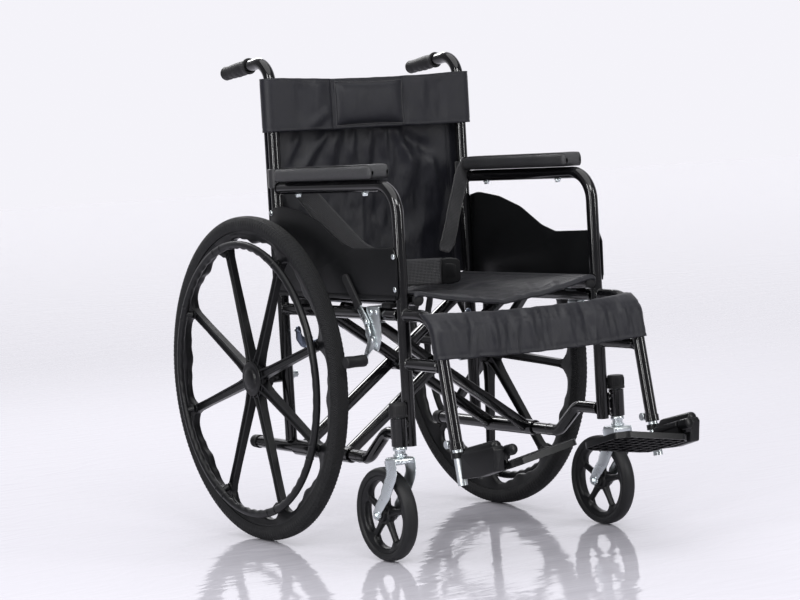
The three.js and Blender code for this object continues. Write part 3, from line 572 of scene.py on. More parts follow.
def rearWheel(name, k):
    wheel = dict(x=268.5, z=305.0, phase={"right": 28.0, "left": 3.3}[name], spokes=8, inner=266.0, outer=277.4, treads=210)
    body = name + "_rear_wheel"
    centre = (k * wheel["x"], 0, wheel["z"])
    start = radians(wheel["phase"])
    face = k

    bm = bmesh.new()
    profile = [(265.4, -5), (266.6, -6.4), (269, -7.4), (272.5, -9.0), (277.4, -10), (277.4, 10), (274.4, 10), (273, 8.4), (270, 7.2),
               (268, 7.0), (266.6, 6.2), (265.4, 5), (265, 0), (265.4, -5)]
    lathe(bm, [(r, face * a) for r, a in profile], 240)
    for v in bm.verts:  # wavy inner edge, filleted into every spoke
        reach = hypot(v.co.y, v.co.z)
        turn = math.atan2(-v.co.y, v.co.z) - start
        share = max(0.0, min(1.0, (274.6 - reach) / 8))
        pull = rimReach(turn, wheel["spokes"]) * share
        v.co.y *= (reach - pull) / reach
        v.co.z *= (reach - pull) / reach
    hub = [(8.2, -27), (18, -27), (20.5, -26), (21.5, -10), (27, -7), (31, -4), (34, -1), (36.5, 6), (36.5, 7.6),
           (34.5, 8.4), (33.6, 7.4), (8.2, 7)]
    lathe(bm, [(r, face * a) for r, a in hub + hub[:1]], 64)
    for i in range(wheel["spokes"]):
        turn = start + tau * i / wheel["spokes"]
        out = Vector((0, -sin(turn), cos(turn)))
        w, t, d, g = 6.5, 8.0, 3.2, 3.0  # half depth, half width, web depth, rib width
        section = [(-w, -t), (-w, -t + g), (-d, -t + g + 1.4), (-d, t - g - 1.4), (-w, t - g), (-w, t),
                   (w, t), (w, t - g), (d, t - g - 1.4), (d, -t + g + 1.4), (w, -t + g), (w, -t)]
        steps = [(22, 1.75, 1.3), (36, 1.35, 1.15), (60, 1.12, 1.02), (120, 1.0, 0.96), (190, 0.92, 0.88), (236, 0.94,
                0.92), (248, 1.0, 1.2), (264, 1.0, 1.7)]
        fresh = sweep(bm, [out * r for r, a, b in steps], 1, section=section, sizes=[(a, b) for r, a, b in steps],
                      up=out.cross(Vector((1, 0, 0))))
        bmesh.ops.translate(bm, vec=(face * 0.6, 0, 0), verts=fresh)
        lathe(bm, [(0, -3), (8, -3), (8.5, 6), (8.5, 8.4), (8, 9.4), (4, 9.6), (0, 9.6)], 24, along(out * 244, (face, 0, 0)))
    bmesh.ops.translate(bm, vec=centre, verts=bm.verts)
    finishPiece(name + "Wheel", bm, body, looks["wheelNylon"], [name + "_wheel"], 38)

    bm = bmesh.new()  # tyre with rounded shoulders and a moulding line
    half = [(277.8, 12), (281, 13.6), (286, 15.6), (291, 16.4), (296, 15.6), (299.6, 13.4), (302, 11.5), (302.6,
            11.4), (303.6, 9.6), (304.6, 6), (305, 0)]
    profile = [(r, a) for r, a in half] + [(r, -a) for r, a in reversed(half[:-1])]
    lathe(bm, profile + profile[:1], wheel["treads"] * 4)
    for v in bm.verts:  # knurled tread blocks, cut inwards so that the tyre keeps its size
        reach = hypot(v.co.y, v.co.z)
        if reach > 290:
            wave = sin(math.atan2(-v.co.y, v.co.z) * wheel["treads"] + v.co.x * 0.55) * sin(v.co.x * 0.9 + 0.8)
            cut = 1.5 * (0.5 - 0.5 * wave) * min(1.0, (reach - 290) / 6)
            v.co.y *= (reach - cut) / reach
            v.co.z *= (reach - cut) / reach
            v.co.x += (1 if v.co.x > 0 else -1) * 0.45 * wave * min(1.0, (304 - reach) / 8)
    bmesh.ops.translate(bm, vec=centre, verts=bm.verts)
    tyreLook = treadMaterial(name + "TyreBlack", (centre[0] / 1000, chair["axleBack"] / 1000, 0.305), 0.305, 0.0042,
                             (0.0065, 0.0068, 0.0075), (0.0125, 0.0128, 0.014))
    finishPiece(name + "Tyre", bm, body, tyreLook, [name + "_tyre"], 30)

    bm = bmesh.new()  # hub cap
    lathe(bm, [(r, face * a) for r, a in [(0, 7.4), (31.5, 7.4), (32.6, 8.6), (32.4, 11), (31, 12.4), (28.5, 12.8),
                                          (24, 12.2), (21, 13.2), (19.6, 15.4),
               (16.5, 17.6), (11, 18.8), (5, 19.2), (0, 19.3)]], 56)
    bmesh.ops.translate(bm, vec=centre, verts=bm.verts)
    finishPiece(name + "HubCap", bm, body, looks["wheelNylon"], [name + "_hub_cap"], 40)

    bm = bmesh.new()  # hand rim with finger waves on its inner side and a lug at every spoke
    ring = [(252 + 7.8 * cos(tau * i / 18), 6.7 * sin(tau * i / 18)) for i in range(19)]
    lathe(bm, ring, 288)
    for v in bm.verts:
        reach = hypot(v.co.y, v.co.z)
        inner = max(0.0, (252 - reach) / 7.8)
        turn = (math.atan2(-v.co.y, v.co.z) - start) * wheel["spokes"] / tau % 1.0
        if 0.1 < turn < 0.9:
            wave = 0.5 - 0.5 * cos(tau * (turn - 0.1) / 0.8 * 6)
            grow = 2.4 * inner * wave * min(1.0, (turn - 0.1) / 0.1, (0.9 - turn) / 0.1)
            v.co.y *= (reach + grow) / reach
            v.co.z *= (reach + grow) / reach
    bmesh.ops.translate(bm, vec=(face * 23.7, 0, 0), verts=bm.verts)
    for i in range(wheel["spokes"]):
        turn = start + tau * i / wheel["spokes"]
        out = Vector((0, -sin(turn), cos(turn)))
        sweep(bm, [out * 243 + Vector((face * 10.6, 0, 0)), out * 245 + Vector((face * 14, 0, 0)),
                   out * 248 + Vector((face * 18.5, 0, 0)), out * 251 + Vector((face * 22, 0, 0))],
              6.6, 18, sizes=[(1.1, 1.1), (1, 1), (0.92, 0.92), (0.85, 0.85)])
        for s in (-1, 1):  # joint rings beside the lug
            edge = turn + s * 0.055
            way = Vector((0, -cos(edge), -sin(edge)))
            bead(bm, Vector((face * 23.7, -252 * sin(edge), 252 * cos(edge))), way, 7.6, 2.4, 0.6)
    bmesh.ops.translate(bm, vec=centre, verts=bm.verts)
    finishPiece(name + "HandRim", bm, body, looks["wheelNylon"], [name + "_handrim"], 40)

    bm = bmesh.new()  # axle bolt, nut and washers
    sweep(bm, [(k * 180, 0, 305), (k * 271.4, 0, 305)], 6.3, 24)
    hexBolt(bm, (k * 197, 0, 305), (-k, 0, 0), 17, 8, 11)
    lathe(bm, [(0, 0), (9.4, 0), (10, 0.6), (10, 2.2), (9.4, 2.8), (0, 2.8)], 28, along((k * 239.6, 0, 305), (k, 0, 0)))
    finishPiece(name + "AxleBolt", bm, name + "_frame", looks["zinc"], [name + "_axle"])


for sideName, k in sides:
    rearWheel(sideName, k)
print("rear wheels ready")


def caster(name, k):
    part = dict(x=241.0, stemY=-434.0, trail=53.0, high=83.0, half=17.4)
    x, y0, zc = k * part["x"], part["stemY"], part["high"]
    swivel, roller = name + "_caster_swivel_fork", name + "_caster_roller"
    zinc = looks["zinc"]

    bm = bmesh.new()  # stem, lock nut, pressed crown and two swept legs
    sweep(bm, [(x, y0, 180), (x, y0, 268)], 6.5, 24)
    lathe(bm, [(6, 189), (11.5, 189), (12.2, 190.2), (12.2, 192.5), (9.4, 193.6), (9.4, 199), (12, 200), (12.4, 201),
               (12.4, 204), (11.6, 205.6), (6, 206)],
          32, along((x, y0, 0), (0, 0, 1)))
    outline = rounded([(-22, -17, 9), (22, -17, 9), (22, 21, 8), (-22, 21, 8)], 6)
    slab(bm, [(x + a, y0 + b) for a, b in outline], "xy", 176.5, 187.6, 4.2, 4)
    centreLine = bent([(0, 3, 184), (0, -1, 160, 30), (0, 26, 118, 60), (0, 51, 92, 16), (0, 53, 82)], 6)
    for s in (-1, 1):
        line = [Vector((x + s * 20.2, y0 + p.y, p.z)) for p in centreLine]
        n = len(line) - 1
        widths = [(1.0, 17.5 - 7.5 * min(1, (i / n) * 1.25)) for i in range(n + 1)]
        section = [(cos(tau * (i + 0.5) / 16) * 2.6, sin(tau * (i + 0.5) / 16)) for i in range(16)]
        sweep(bm, line, 1, section=section, sizes=widths, up=(0, 1, 0))
        lathe(bm, [(0, -2.6), (9.6, -2.6), (10.2, -1.6), (10.2, 1.6), (9.6, 2.6), (0, 2.6)], 30, along((x + s * 20.2,
                y0 + part["trail"], zc + 2), (s, 0, 0)))
        hexBolt(bm, (x + s * 22.4, y0 + part["trail"], zc), (s, 0, 0), 9, 2.6, 6.4)
    sweep(bm, [(x - 24, y0 + part["trail"], zc), (x + 24, y0 + part["trail"], zc)], 3.9, 16)
    finishPiece(name + "CasterFork", bm, swivel, zinc, [name + "_caster_fork"])

    centre = (x, y0 + part["trail"], zc)
    bm = bmesh.new()
    rim = [(60, -6), (61.5, -8.2), (66, -9.6), (68, -9.8), (68, 9.8), (66, 9.6), (61.5, 8.2), (60, 6), (59.4, 0), (60, -6)]
    lathe(bm, rim, 120)
    for v in bm.verts:  # fillets where the spokes land
        reach = hypot(v.co.y, v.co.z)
        turn = (math.atan2(-v.co.y, v.co.z) / tau * 5 - 0.1) % 1.0
        near = min(turn, 1 - turn)
        pull = 9 * math.exp(-((near / 0.12) ** 2)) * max(0.0, min(1.0, (64 - reach) / 4))
        v.co.y *= (reach - pull) / reach
        v.co.z *= (reach - pull) / reach
    lathe(bm, [(4.9, -15.8), (11.5, -15.8), (12.4, -15), (13, -9), (17, -7), (18.5, -4), (18.5, 4), (17, 7), (13, 9),
               (12.4, 15), (11.5, 15.8), (4.9, 15.8), (4.9, -15.8)], 48)
    for i in range(5):
        turn = tau * (i + 0.1) / 5
        out = Vector((0, -sin(turn), cos(turn)))
        section = [(cos(tau * (j + 0.5) / 12) * 6.6, sin(tau * (j + 0.5) / 12) * 6.4) for j in range(12)]
        steps = [(12, 1.5, 1.2), (20, 1.1, 1.05), (36, 0.86, 0.92), (50, 0.86, 0.95), (57, 1.1, 1.05), (63, 1.5, 1.1)]
        sweep(bm, [out * r for r, a, b in steps], 1, section=section, sizes=[(a, b) for r, a, b in steps], up=Vector((1, 0, 0)))
    bmesh.ops.translate(bm, vec=centre, verts=bm.verts)
    finishPiece(name + "CasterWheel", bm, roller, looks["wheelNylon"], [name + "_caster_wheel"], 45)

    bm = bmesh.new()
    half = [(68.4, 10), (70, 12), (73, 13.6), (76, 13.9), (79, 12.4), (81.4, 9.4), (82.6, 5.4), (83, 0)]
    profile = [(r, a) for r, a in half] + [(r, -a) for r, a in reversed(half[:-1])]
    lathe(bm, profile + profile[:1], 110)
    bmesh.ops.translate(bm, vec=centre, verts=bm.verts)
    finishPiece(name + "CasterTyre", bm, roller, looks["casterRubber"], [name + "_caster_tyre"], 40)


looks["casterRubber"] = grainMaterial("casterRubberBlack", (0.006, 0.0063, 0.007), (0.0115, 0.0118, 0.013), (0.44,
        0.6), 620.0, (0.4, 0.0005), specular=0.3)
for sideName, k in sides:
    caster(sideName, k)
print("casters ready")


def brake(name, k):
    part = dict(near=224.9, lever=(-335, 419), tip=(-273, 498), shoe=(-324, 350), arm=(-350, 386))
    frameBody, near = name + "_frame", part["near"]
    zinc = looks["zinc"]

    bm = bmesh.new()  # clamp plate with its folded lip over the rail, and its bolts
    web = rounded([(-372, 446, 3), (-334, 446, 3), (-328, 430, 5), (-322, 412, 6), (-334, 374, 6), (-360, 366, 6), (-372, 390, 6)], 4)
    slab(bm, web, "yz", k * near, k * (near + 3.6), 0.6)
    block(bm, k * (near - 24), k * (near + 3.2), -370, -338, 443.6, 446.4, 0.8)
    slab(bm, rounded([(-368, 420, 2), (-340, 420, 2), (-340, 417.6, 1), (-368, 417.6, 1)]), "yz", k * (near - 12), k * near, 0.4)
    for y, z in ((-362, 436), (-345, 436)):
        hexBolt(bm, (k * (near + 2.6), y, z), (k, 0, 0), 8, 1.2, 5.4)
    slab(bm, rounded([(-362, 380, 4), (-346, 392, 4), (-330, 404, 4), (-326, 396, 4), (-344, 372, 4), (-360, 370, 4)],
                     4), "yz", k * (near + 2.6), k * (near + 5.0), 0.4)
    finishPiece(name + "BrakeBracket", bm, frameBody, zinc, [name + "_brake_bracket"])

    py, pz = part["lever"]
    run, rise = part["tip"][0] - py, part["tip"][1] - pz
    length = hypot(run, rise)
    dy, dz = run / length, rise / length
    at = lambda u, w: (py + dy * u - dz * w, pz + dz * u + dy * w)
    bm = bmesh.new()
    grip = [at(u, w) + (r,) for u, w, r in ((32, -8.6, 2), (length + 3, -9, 8.6), (length + 3, 9, 8.6), (32, 8.6, 2))]
    slab(bm, rounded(grip, 7), "yz", k * (near + 3.6), k * (near + 10.4), 2.6, 4)
    finishPiece(name + "BrakeHandle", bm, name + "_brake_handle", looks["gripPlastic"], [name + "_brake_lever"])
    bm = bmesh.new()
    blade = [at(u, w) + (r,) for u, w, r in ((-12, -8, 7.5), (38, -6.6, 1), (38, 6.6, 1), (-12, 8, 7.5))]
    slab(bm, rounded(blade, 6), "yz", k * (near + 5.4), k * (near + 8.6), 0.5)
    domeRivet(bm, (k * (near + 8.4), py, pz), (k, 0, 0), 5.2, 2.4)
    slab(bm, rounded([at(-6, -5) + (4,), at(-6, 5) + (4,), (-352, 398, 4), (-346, 390, 4)], 4), "yz",
         k * (near + 8.4), k * (near + 10.6), 0.4)
    finishPiece(name + "BrakeBlade", bm, name + "_brake_handle", zinc)

    ay, az = part["arm"]
    sy, sz = part["shoe"]
    bm = bmesh.new()
    link = [(ay - 9, az + 8, 5), (ay + 7, az + 9, 5), (sy + 6, sz + 3, 4), (sy + 5, sz - 7, 4), (sy - 7, sz - 7, 4),
            (sy - 7, sz + 8, 8), (ay - 9, az - 8, 6)]
    slab(bm, rounded(link, 5), "yz", k * (near + 4.4), k * (near + 7.6), 0.5)
    domeRivet(bm, (k * (near + 7.6), ay, az), (k, 0, 0), 5.0, 2.2)
    finishPiece(name + "BrakeArm", bm, name + "_brake_arm", zinc)
    bm = bmesh.new()
    lathe(bm, [(0, near + 6), (8.6, near + 6), (10.4, near + 8), (10.8, near + 12), (10.2, near + 30), (10.9, 268),
               (10.6, 272), (9, 273.8), (0, 274)], 36,
          along((0, sy, sz), (k, 0, 0)))
    finishPiece(name + "BrakeShoe", bm, name + "_brake_arm", looks["gripPlastic"], [name + "_brake_shoe"])


for sideName, k in sides:
    brake(sideName, k)
print("brakes ready")


def legRest(name, k):
    part = dict(x=213.5)
    body, x = name + "_leg_rest", k * part["x"]
    bm = bmesh.new()
    sweep(bm, [(x, hangerY(148), 148), (x, hangerY(310), 310)], 8.5, 28, capped=False)
    sweep(bm, [(x, hangerY(310), 310), (x, hangerY(148), 148)], 7.0, 28, capped=False)
    for z in (148, 310):
        lathe(bm, [(7.0, 0), (8.5, 0)], 28, along((x, hangerY(z), z), (0, -0.187, -0.982)))
    finishPiece(name + "FootTube", bm, body, looks["zinc"], [name + "_foot_tube"])

    bm = bmesh.new()  # hinge block: a rounded shoe clamped on the tube, with the stop knob at its front
    outline = rounded([(-589, 160, 3), (-640, 168, 20), (-684, 181, 4), (-688, 217, 3), (-683, 223.6, 4), (-589, 202.6, 4)], 5)
    fresh = slab(bm, outline, "yz", x + k * 9, x - k * 13, 2.4, 3)
    lathe(bm, [(8.9, 0), (11.6, 0), (12.2, 0.6), (12.2, 9), (11.6, 9.6), (8.9, 9.6), (8.9, 0)], 32, along((x,
            hangerY(203), 203), (0, -0.187, -0.982)))
    slab(bm, rounded([(-602, 166, 3), (-676, 184, 3), (-679, 212, 3), (-602, 195, 3)]), "yz", x - k * 12.6, x - k * 13.8, 0.6)
    knobY, pin = -677, (k * 190, -640, 204)
    block(bm, x - k * 9, x - k * 24, knobY - 10, knobY - 1, 199, 213, 2.0)
    lathe(bm, [(0, -0.5), (8.6, -0.5), (9.4, 0.6), (9.5, 18), (8.6, 20.6), (6, 21.8), (0, 22)], 32, along((pin[0],
            knobY, 212), (0, -0.975, 0.222)))
    lathe(bm, [(0, 0), (9.2, 0), (10.4, 1.2), (10.8, 4), (10.8, 78), (9.8, 82), (7.4, 83.6), (0, 84)], 36,
          along((x - k * 2, -600, 203.6), (0, -0.973, 0.2305)))
    finishPiece(name + "FootBlock", bm, body, looks["sheetPlastic"], [name + "_foot_bracket"])

    bm = bmesh.new()  # footplate: a tray with a rim, tread bars on top and a grid of ribs underneath, made flat and then tilted
    plate = dict(drop=27.0, skin=2.6, rib=0.9, pitch=20.0, tilt=-15.0, lift=9.2)
    edge = [(k * 4, -44, 10), (k * 4, 62, 6), (-k * 12, 70, 6), (-k * 124, 72, 16), (-k * 142, 58, 14), (-k * 146,
            -34, 16), (-k * 130, -52.9, 12), (-k * 10, -54.9, 8)]
    loop = rounded(edge, 5)
    slab(bm, loop, "xy", 5.8 - plate["skin"], 5.8, 0.9)
    middle = Vector((-k * 71, 8, 0))
    wall = [middle + (Vector((p[0], p[1], 0)) - middle) * 0.987 for p in loop]
    sweep(bm, wall + wall[:1], 1, section=[(-1.2, -5.6), (1.2, -5.6), (1.2, 5.0), (-1.2, 5.0)], up=(0, 0, 1), capped=False)
    for i in range(1, 8):  # ribs across and along, under the tread
        x0 = k * 4 - k * plate["pitch"] * i * 0.94
        block(bm, x0 - plate["rib"], x0 + plate["rib"], -51 if i < 7 else -36, 69 if i < 7 else 58, -5.2, 4, 0.3, 1)
    for j in range(6):
        y0 = -36 + plate["pitch"] * j
        block(bm, k * 2, -k * (143 if -30 < y0 < 55 else 136), y0 - plate["rib"], y0 + plate["rib"], -5.2, 4, 0.3, 1)
    for i in range(12):  # tread bars
        x0 = -k * (4 + 11.4 * i)
        block(bm, x0 - 1.5, x0 + 1.5, -42, 58, 5.2, 6.6, 0.5, 1)
    bmesh.ops.translate(bm, vec=(0, 0, -plate["drop"]), verts=bm.verts)
    tilt = Matrix.Translation(pin) @ Matrix.Rotation(radians(plate["tilt"]), 4, "X") @ Matrix.Rotation(k * radians(plate["lift"]), 4, "Y")
    bmesh.ops.transform(bm, matrix=tilt, verts=bm.verts)
    fresh = slab(bm, rounded([(-30, 2, 4), (34, 2, 4), (36, -26, 3), (-30, -26, 3)]), "yz", -k * 6, k * 1, 1.2)
    bmesh.ops.transform(bm, matrix=Matrix.Translation(pin) @ Matrix.Rotation(radians(plate["tilt"]), 4, "X"), verts=fresh)
    lathe(bm, [(0, -30), (6.8, -30), (7.5, -29), (7.5, 35), (6.8, 36), (0, 36)], 28, along(pin, (0, 0.966, -0.2588)))
    finishPiece(name + "Footplate", bm, name + "_plate", looks["sheetPlastic"], [name + "_footplate"])


for sideName, k in sides:
    legRest(sideName, k)
print("leg rests ready")


def crossBrace(name, k):
    part = dict(foot=213.5, seat=190.0, footZ=170.0, topZ=450.0, barHigh=20.0, barDeep=14.0, bars={-1: (-60, -212), 1: (-77, -195)}[k])
    body = "lower_" + name + "_brace"
    a, b = Vector((k * part["foot"], 0, part["footZ"])), Vector((-k * part["seat"], 0, part["topZ"]))
    bm = bmesh.new()
    h, d, r = part["barHigh"] / 2, part["barDeep"] / 2, 2.6
    section = [(p[0], p[1]) for p in rounded([(-d, -h, r), (d, -h, r), (d, h, r), (-d, h, r)], 3)]
    lean = (b - a).normalized()
    for y in part["bars"]:
        start, end = a + Vector((0, y, 0)) + lean * 9, b + Vector((0, y, 0)) - lean * 6
        across = lean.cross(Vector((0, 1, 0)))
        sweep(bm, [start, end], 1, section=section, up=across)
        lathe(bm, [(5.2, -d), (11.6, -d), (12, -d + 0.6), (12, d - 0.6), (11.6, d), (5.2, d), (5.2, -d)], 32, along((0, y, 310), (0, 1, 0)))
        for p, s in ((start, 1), (end, -1)):  # weld swelling at both ends
            sweep(bm, [p - lean * s * 3, p + lean * s * 3.5], 1, section=[(q[0] * 1.12, q[1] * 1.09) for q in section], up=across)
    lowEnd, highEnd = min(part["bars"]) - 22, max(part["bars"]) + 15
    lathe(bm, [(11.9, lowEnd), (14.0, lowEnd), (14.5, lowEnd + 0.6), (14.5, highEnd - 0.6), (14.0, highEnd), (11.9,
            highEnd), (11.9, lowEnd)], 40,
          along((k * part["foot"], 0, 172), (0, 1, 0)))
    sweep(bm, [(-k * part["seat"], -50, 457), (-k * part["seat"], -438, 457)], 11, 28)
    finishPiece(name + "CrossBrace", bm, body, looks["powderCoat"], ["lower_" + name + "_cross_brace"])

    bm = bmesh.new()  # plug in the seat tube's front end
    x = -k * part["seat"]
    lathe(bm, [(0, 0), (10.6, 0), (11.2, 0.8), (11.0, 4.6), (9, 5.8), (0, 6)], 28, along((x, -437, 457), (0, -1, 0)))
    finishPiece(name + "SeatTubePlug", bm, body, looks["gripPlastic"])


def saddle(name, k):  # black nylon saddles on the seat rails
    bm = bmesh.new()
    for y in (-96, -384):
        slab(bm, rounded([(k * 202.5 - 9, 443.4, 2), (k * 213.5 + 9, 443.4, 2), (k * 213.5 + 7, 452, 3),
                          (k * 213.5 - 9, 451, 3)] if k > 0 else
                         [(k * 202.5 + 9, 443.4, 2), (k * 213.5 - 9, 443.4, 2), (k * 213.5 - 7, 452, 3),
                          (k * 213.5 + 9, 451, 3)]), "xz", y - 14, y + 14, 1.2)
    finishPiece(name + "SeatSaddle", bm, name + "_frame", looks["gripPlastic"])


def pivotBolt():
    bm = bmesh.new()
    sweep(bm, [(0, -50, 310), (0, -222, 310)], 4.1, 20)
    hexBolt(bm, (0, -51.5, 310), (0, 1, 0), 12, 4.6, 9)
    hexBolt(bm, (0, -220.5, 310), (0, -1, 0), 12, 4.6, 9)
    for y in (-69, -71, -186.5, -203):
        lathe(bm, [(4, 0), (9, 0), (9, 1.2), (4, 1.2), (4, 0)], 24, along((0, y, 310), (0, 1, 0)))
    finishPiece("pivotBolt", bm, "lower_right_brace", looks["zinc"], ["brace_pivot_rod"])


def guideLink(name, k):
    x = k * 200.5
    bm = bmesh.new()
    outline = [(x, 398, 5), (x - k * 9, 398, 5), (x - k * 11, 380, 10), (x - k * 30, 367, 16), (x - k * 94, 383, 5),
               (x - k * 97, 371, 5), (x - k * 30, 352, 16),
               (x - k * 10, 358, 12), (x, 373, 10)]
    slab(bm, rounded(outline, 6), "xz", -43, -39, 0.7)
    domeRivet(bm, (x - k * 5, -43, 390), (0, -1, 0), 5, 2.2)
    domeRivet(bm, (x - k * 88, -43, 376), (0, -1, 0), 4.6, 2)
    finishPiece(name + "GuideLink", bm, name + "_link", looks["blueSteel"], [name + "_guide_link"])
    bm = bmesh.new()
    sweep(bm, [(k * 196, -33, 390), (k * 196, -43.5, 390)], 3.4, 16)
    finishPiece(name + "LinkPin", bm, name + "_link", looks["zinc"])


for sideName, k in sides:
    crossBrace(sideName, k)
    saddle(sideName, k)
    guideLink(sideName, k)
pivotBolt()
print("cross brace ready")


def clothPiece(name, columns, rows, flat, where, look, thick=1.2, closed=False, levels=0):
    bm = bmesh.new()
    bmesh.ops.create_grid(bm, x_segments=columns, y_segments=rows, size=0.5)
    layer = bm.loops.layers.uv.new("cloth")
    for face in bm.faces:
        for loop in face.loops:
            loop[layer].uv = ((loop.vert.co.x + 0.5) * flat[0] / 1000, (loop.vert.co.y + 0.5) * flat[1] / 1000)
    for v in bm.verts:
        v.co = where(v.co.x + 0.5, v.co.y + 0.5)
    if closed:
        bmesh.ops.remove_doubles(bm, verts=bm.verts, dist=0.01)
    bmesh.ops.recalc_face_normals(bm, faces=bm.faces)
    obj = finishPiece(name, bm, None, look, (), 180)
    shell = obj.modifiers.new("thickness", "SOLIDIFY")
    shell.thickness, shell.offset = thick / 1000, 0.0
    if levels:
        soft = obj.modifiers.new("smooth", "SUBSURF")
        soft.levels = soft.render_levels = levels
    applied = bpy.data.meshes.new_from_object(obj.evaluated_get(bpy.context.evaluated_depsgraph_get()))
    obj.modifiers.clear()
    obj.data = applied
    return obj


def foldField(folds):  # soft folds, each a line with a width and a height that fades towards its ends
    def field(a, b):
        total = 0.0
        for a0, b0, a1, b1, width, height in folds:
            run, rise = a1 - a0, b1 - b0
            t = ((a - a0) * run + (b - b0) * rise) / (run * run + rise * rise)
            ease = max(0.0, min(1.0, (t + 0.15) / 0.3)) * max(0.0, min(1.0, (1.15 - t) / 0.6))
            if ease > 0:
                off = ((a - a0) * rise - (b - b0) * run) / hypot(run, rise)
                total += height * ease * ease * (3 - 2 * ease) * math.exp(-((off / width) ** 2))
        return total
    return field


def ruffle(a, b, size, seed):
    return noise.fractal(Vector((a / size[0], b / size[1], seed)), 1.0, 2.0, 3)


def groove(distance, width, depth):  # a sewn line pulls the cloth in
    return depth * math.exp(-((distance / width) ** 2))


def along2(points):  # arc length along a flat path, for a cloth that follows it
    total, marks = 0.0, [0.0]
    for a, b in zip(points, points[1:]):
        total += (b - a).length
        marks.append(total)

    def at(t):
        want = t * total
        i = 0
        while i < len(marks) - 2 and marks[i + 1] < want:
            i += 1
        f = (want - marks[i]) / max(marks[i + 1] - marks[i], 1e-9)
        here = points[i].lerp(points[i + 1], max(0.0, min(1.0, f)))
        first = (points[min(i + 1, len(points) - 1)] - points[max(i - 1, 0)]).normalized()
        second = (points[min(i + 2, len(points) - 1)] - points[i]).normalized()
        heading = first.lerp(second, max(0.0, min(1.0, f))).normalized()
        return here, heading
    return at, total


def stitchRow(bm, points, lift=0.9, stitch=3.2, gap=1.5, wide=0.55):
    at, total = along2(points)
    count = max(1, int(total / (stitch + gap)))
    for i in range(count):
        here, heading = at((i + 0.5) / count)
        fresh = bmesh.ops.create_icosphere(bm, subdivisions=1, radius=1.0)["verts"]
        turn = heading.to_track_quat("X", "Z").to_matrix().to_4x4()
        bmesh.ops.transform(bm, matrix=Matrix.Translation(here) @ turn @ Matrix.Diagonal((stitch / 2, wide, wide, 1)), verts=fresh)


def acrossMiddle(obj):
    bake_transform(obj)


backFolds = foldField([(-150, 752, -188, 690, 9, 3.0), (-86, 760, -172, 655, 11, 4.5), (-62, 758, -112, 640, 13, 3.5),
                       (-24, 760, -34, 690, 8, 2.6),
                       (14, 760, 6, 680, 9, 2.6), (48, 760, 44, 700, 7, 2.2), (70, 760, 104, 690, 11, 4.5), (88, 744,
                               160, 706, 15, -4.5), (112, 704, 66, 600, 18, 3.5),
                       (150, 700, 172, 610, 12, 3.2), (-140, 640, -60, 560, 20, 2.6), (-150, 560, -20, 520, 22,
                               2.2), (150, 580, 40, 520, 22, 2.4)])


def backPanel():
    part = dict(half=223.0, low=470.0, high=768.0, y=-5.5, bow=9.0, seam=193.0)

    def where(u, v):
        x, z = (u * 2 - 1) * part["half"], part["low"] + v * (part["high"] - part["low"])
        inside = max(0.0, 1 - (abs(x) / 200) ** 2)
        fade = min(1.0, (part["high"] - z) / 12) * min(1.0, (z - part["low"]) / 30)
        y = part["y"] + part["bow"] * inside * (0.4 + 0.6 * sin(pi * min(1, v * 1.1)))
        y -= 1.5 * backFolds(x, z) * min(1.0, inside * 2.5)
        y += 4.2 * inside * fade * ruffle(x, z, (46, 90), 3.1) + 1.3 * inside * ruffle(x, z, (16, 44), 8.4)
        y += groove(abs(x) - part["seam"], 3.0, 1.6)
        y += groove(z - part["low"] - 12, 2.0, 0.8)
        return Vector((x, y, z))

    obj = clothPiece("backPanel", 150, 96, (446, 298), where, looks["nylonCloth"], 1.4)
    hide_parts("right_back_half", "left_back_half")
    acrossMiddle(obj)
    bm = bmesh.new()
    for k in (-1, 1):
        for off in (-3, 3):
            stitchRow(bm, [where(0.5 + k * (part["seam"] + off) / 446, 0.02 + 0.96 * i / 30) + Vector((0, -0.8, 0)) for i in range(31)])
    stitchRow(bm, [where(0.04 + 0.92 * i / 60, 12 / 298) + Vector((0, -0.8, 0)) for i in range(61)])
    rows = finishPiece("backPanelStitches", bm, None, looks["thread"])
    acrossMiddle(rows)


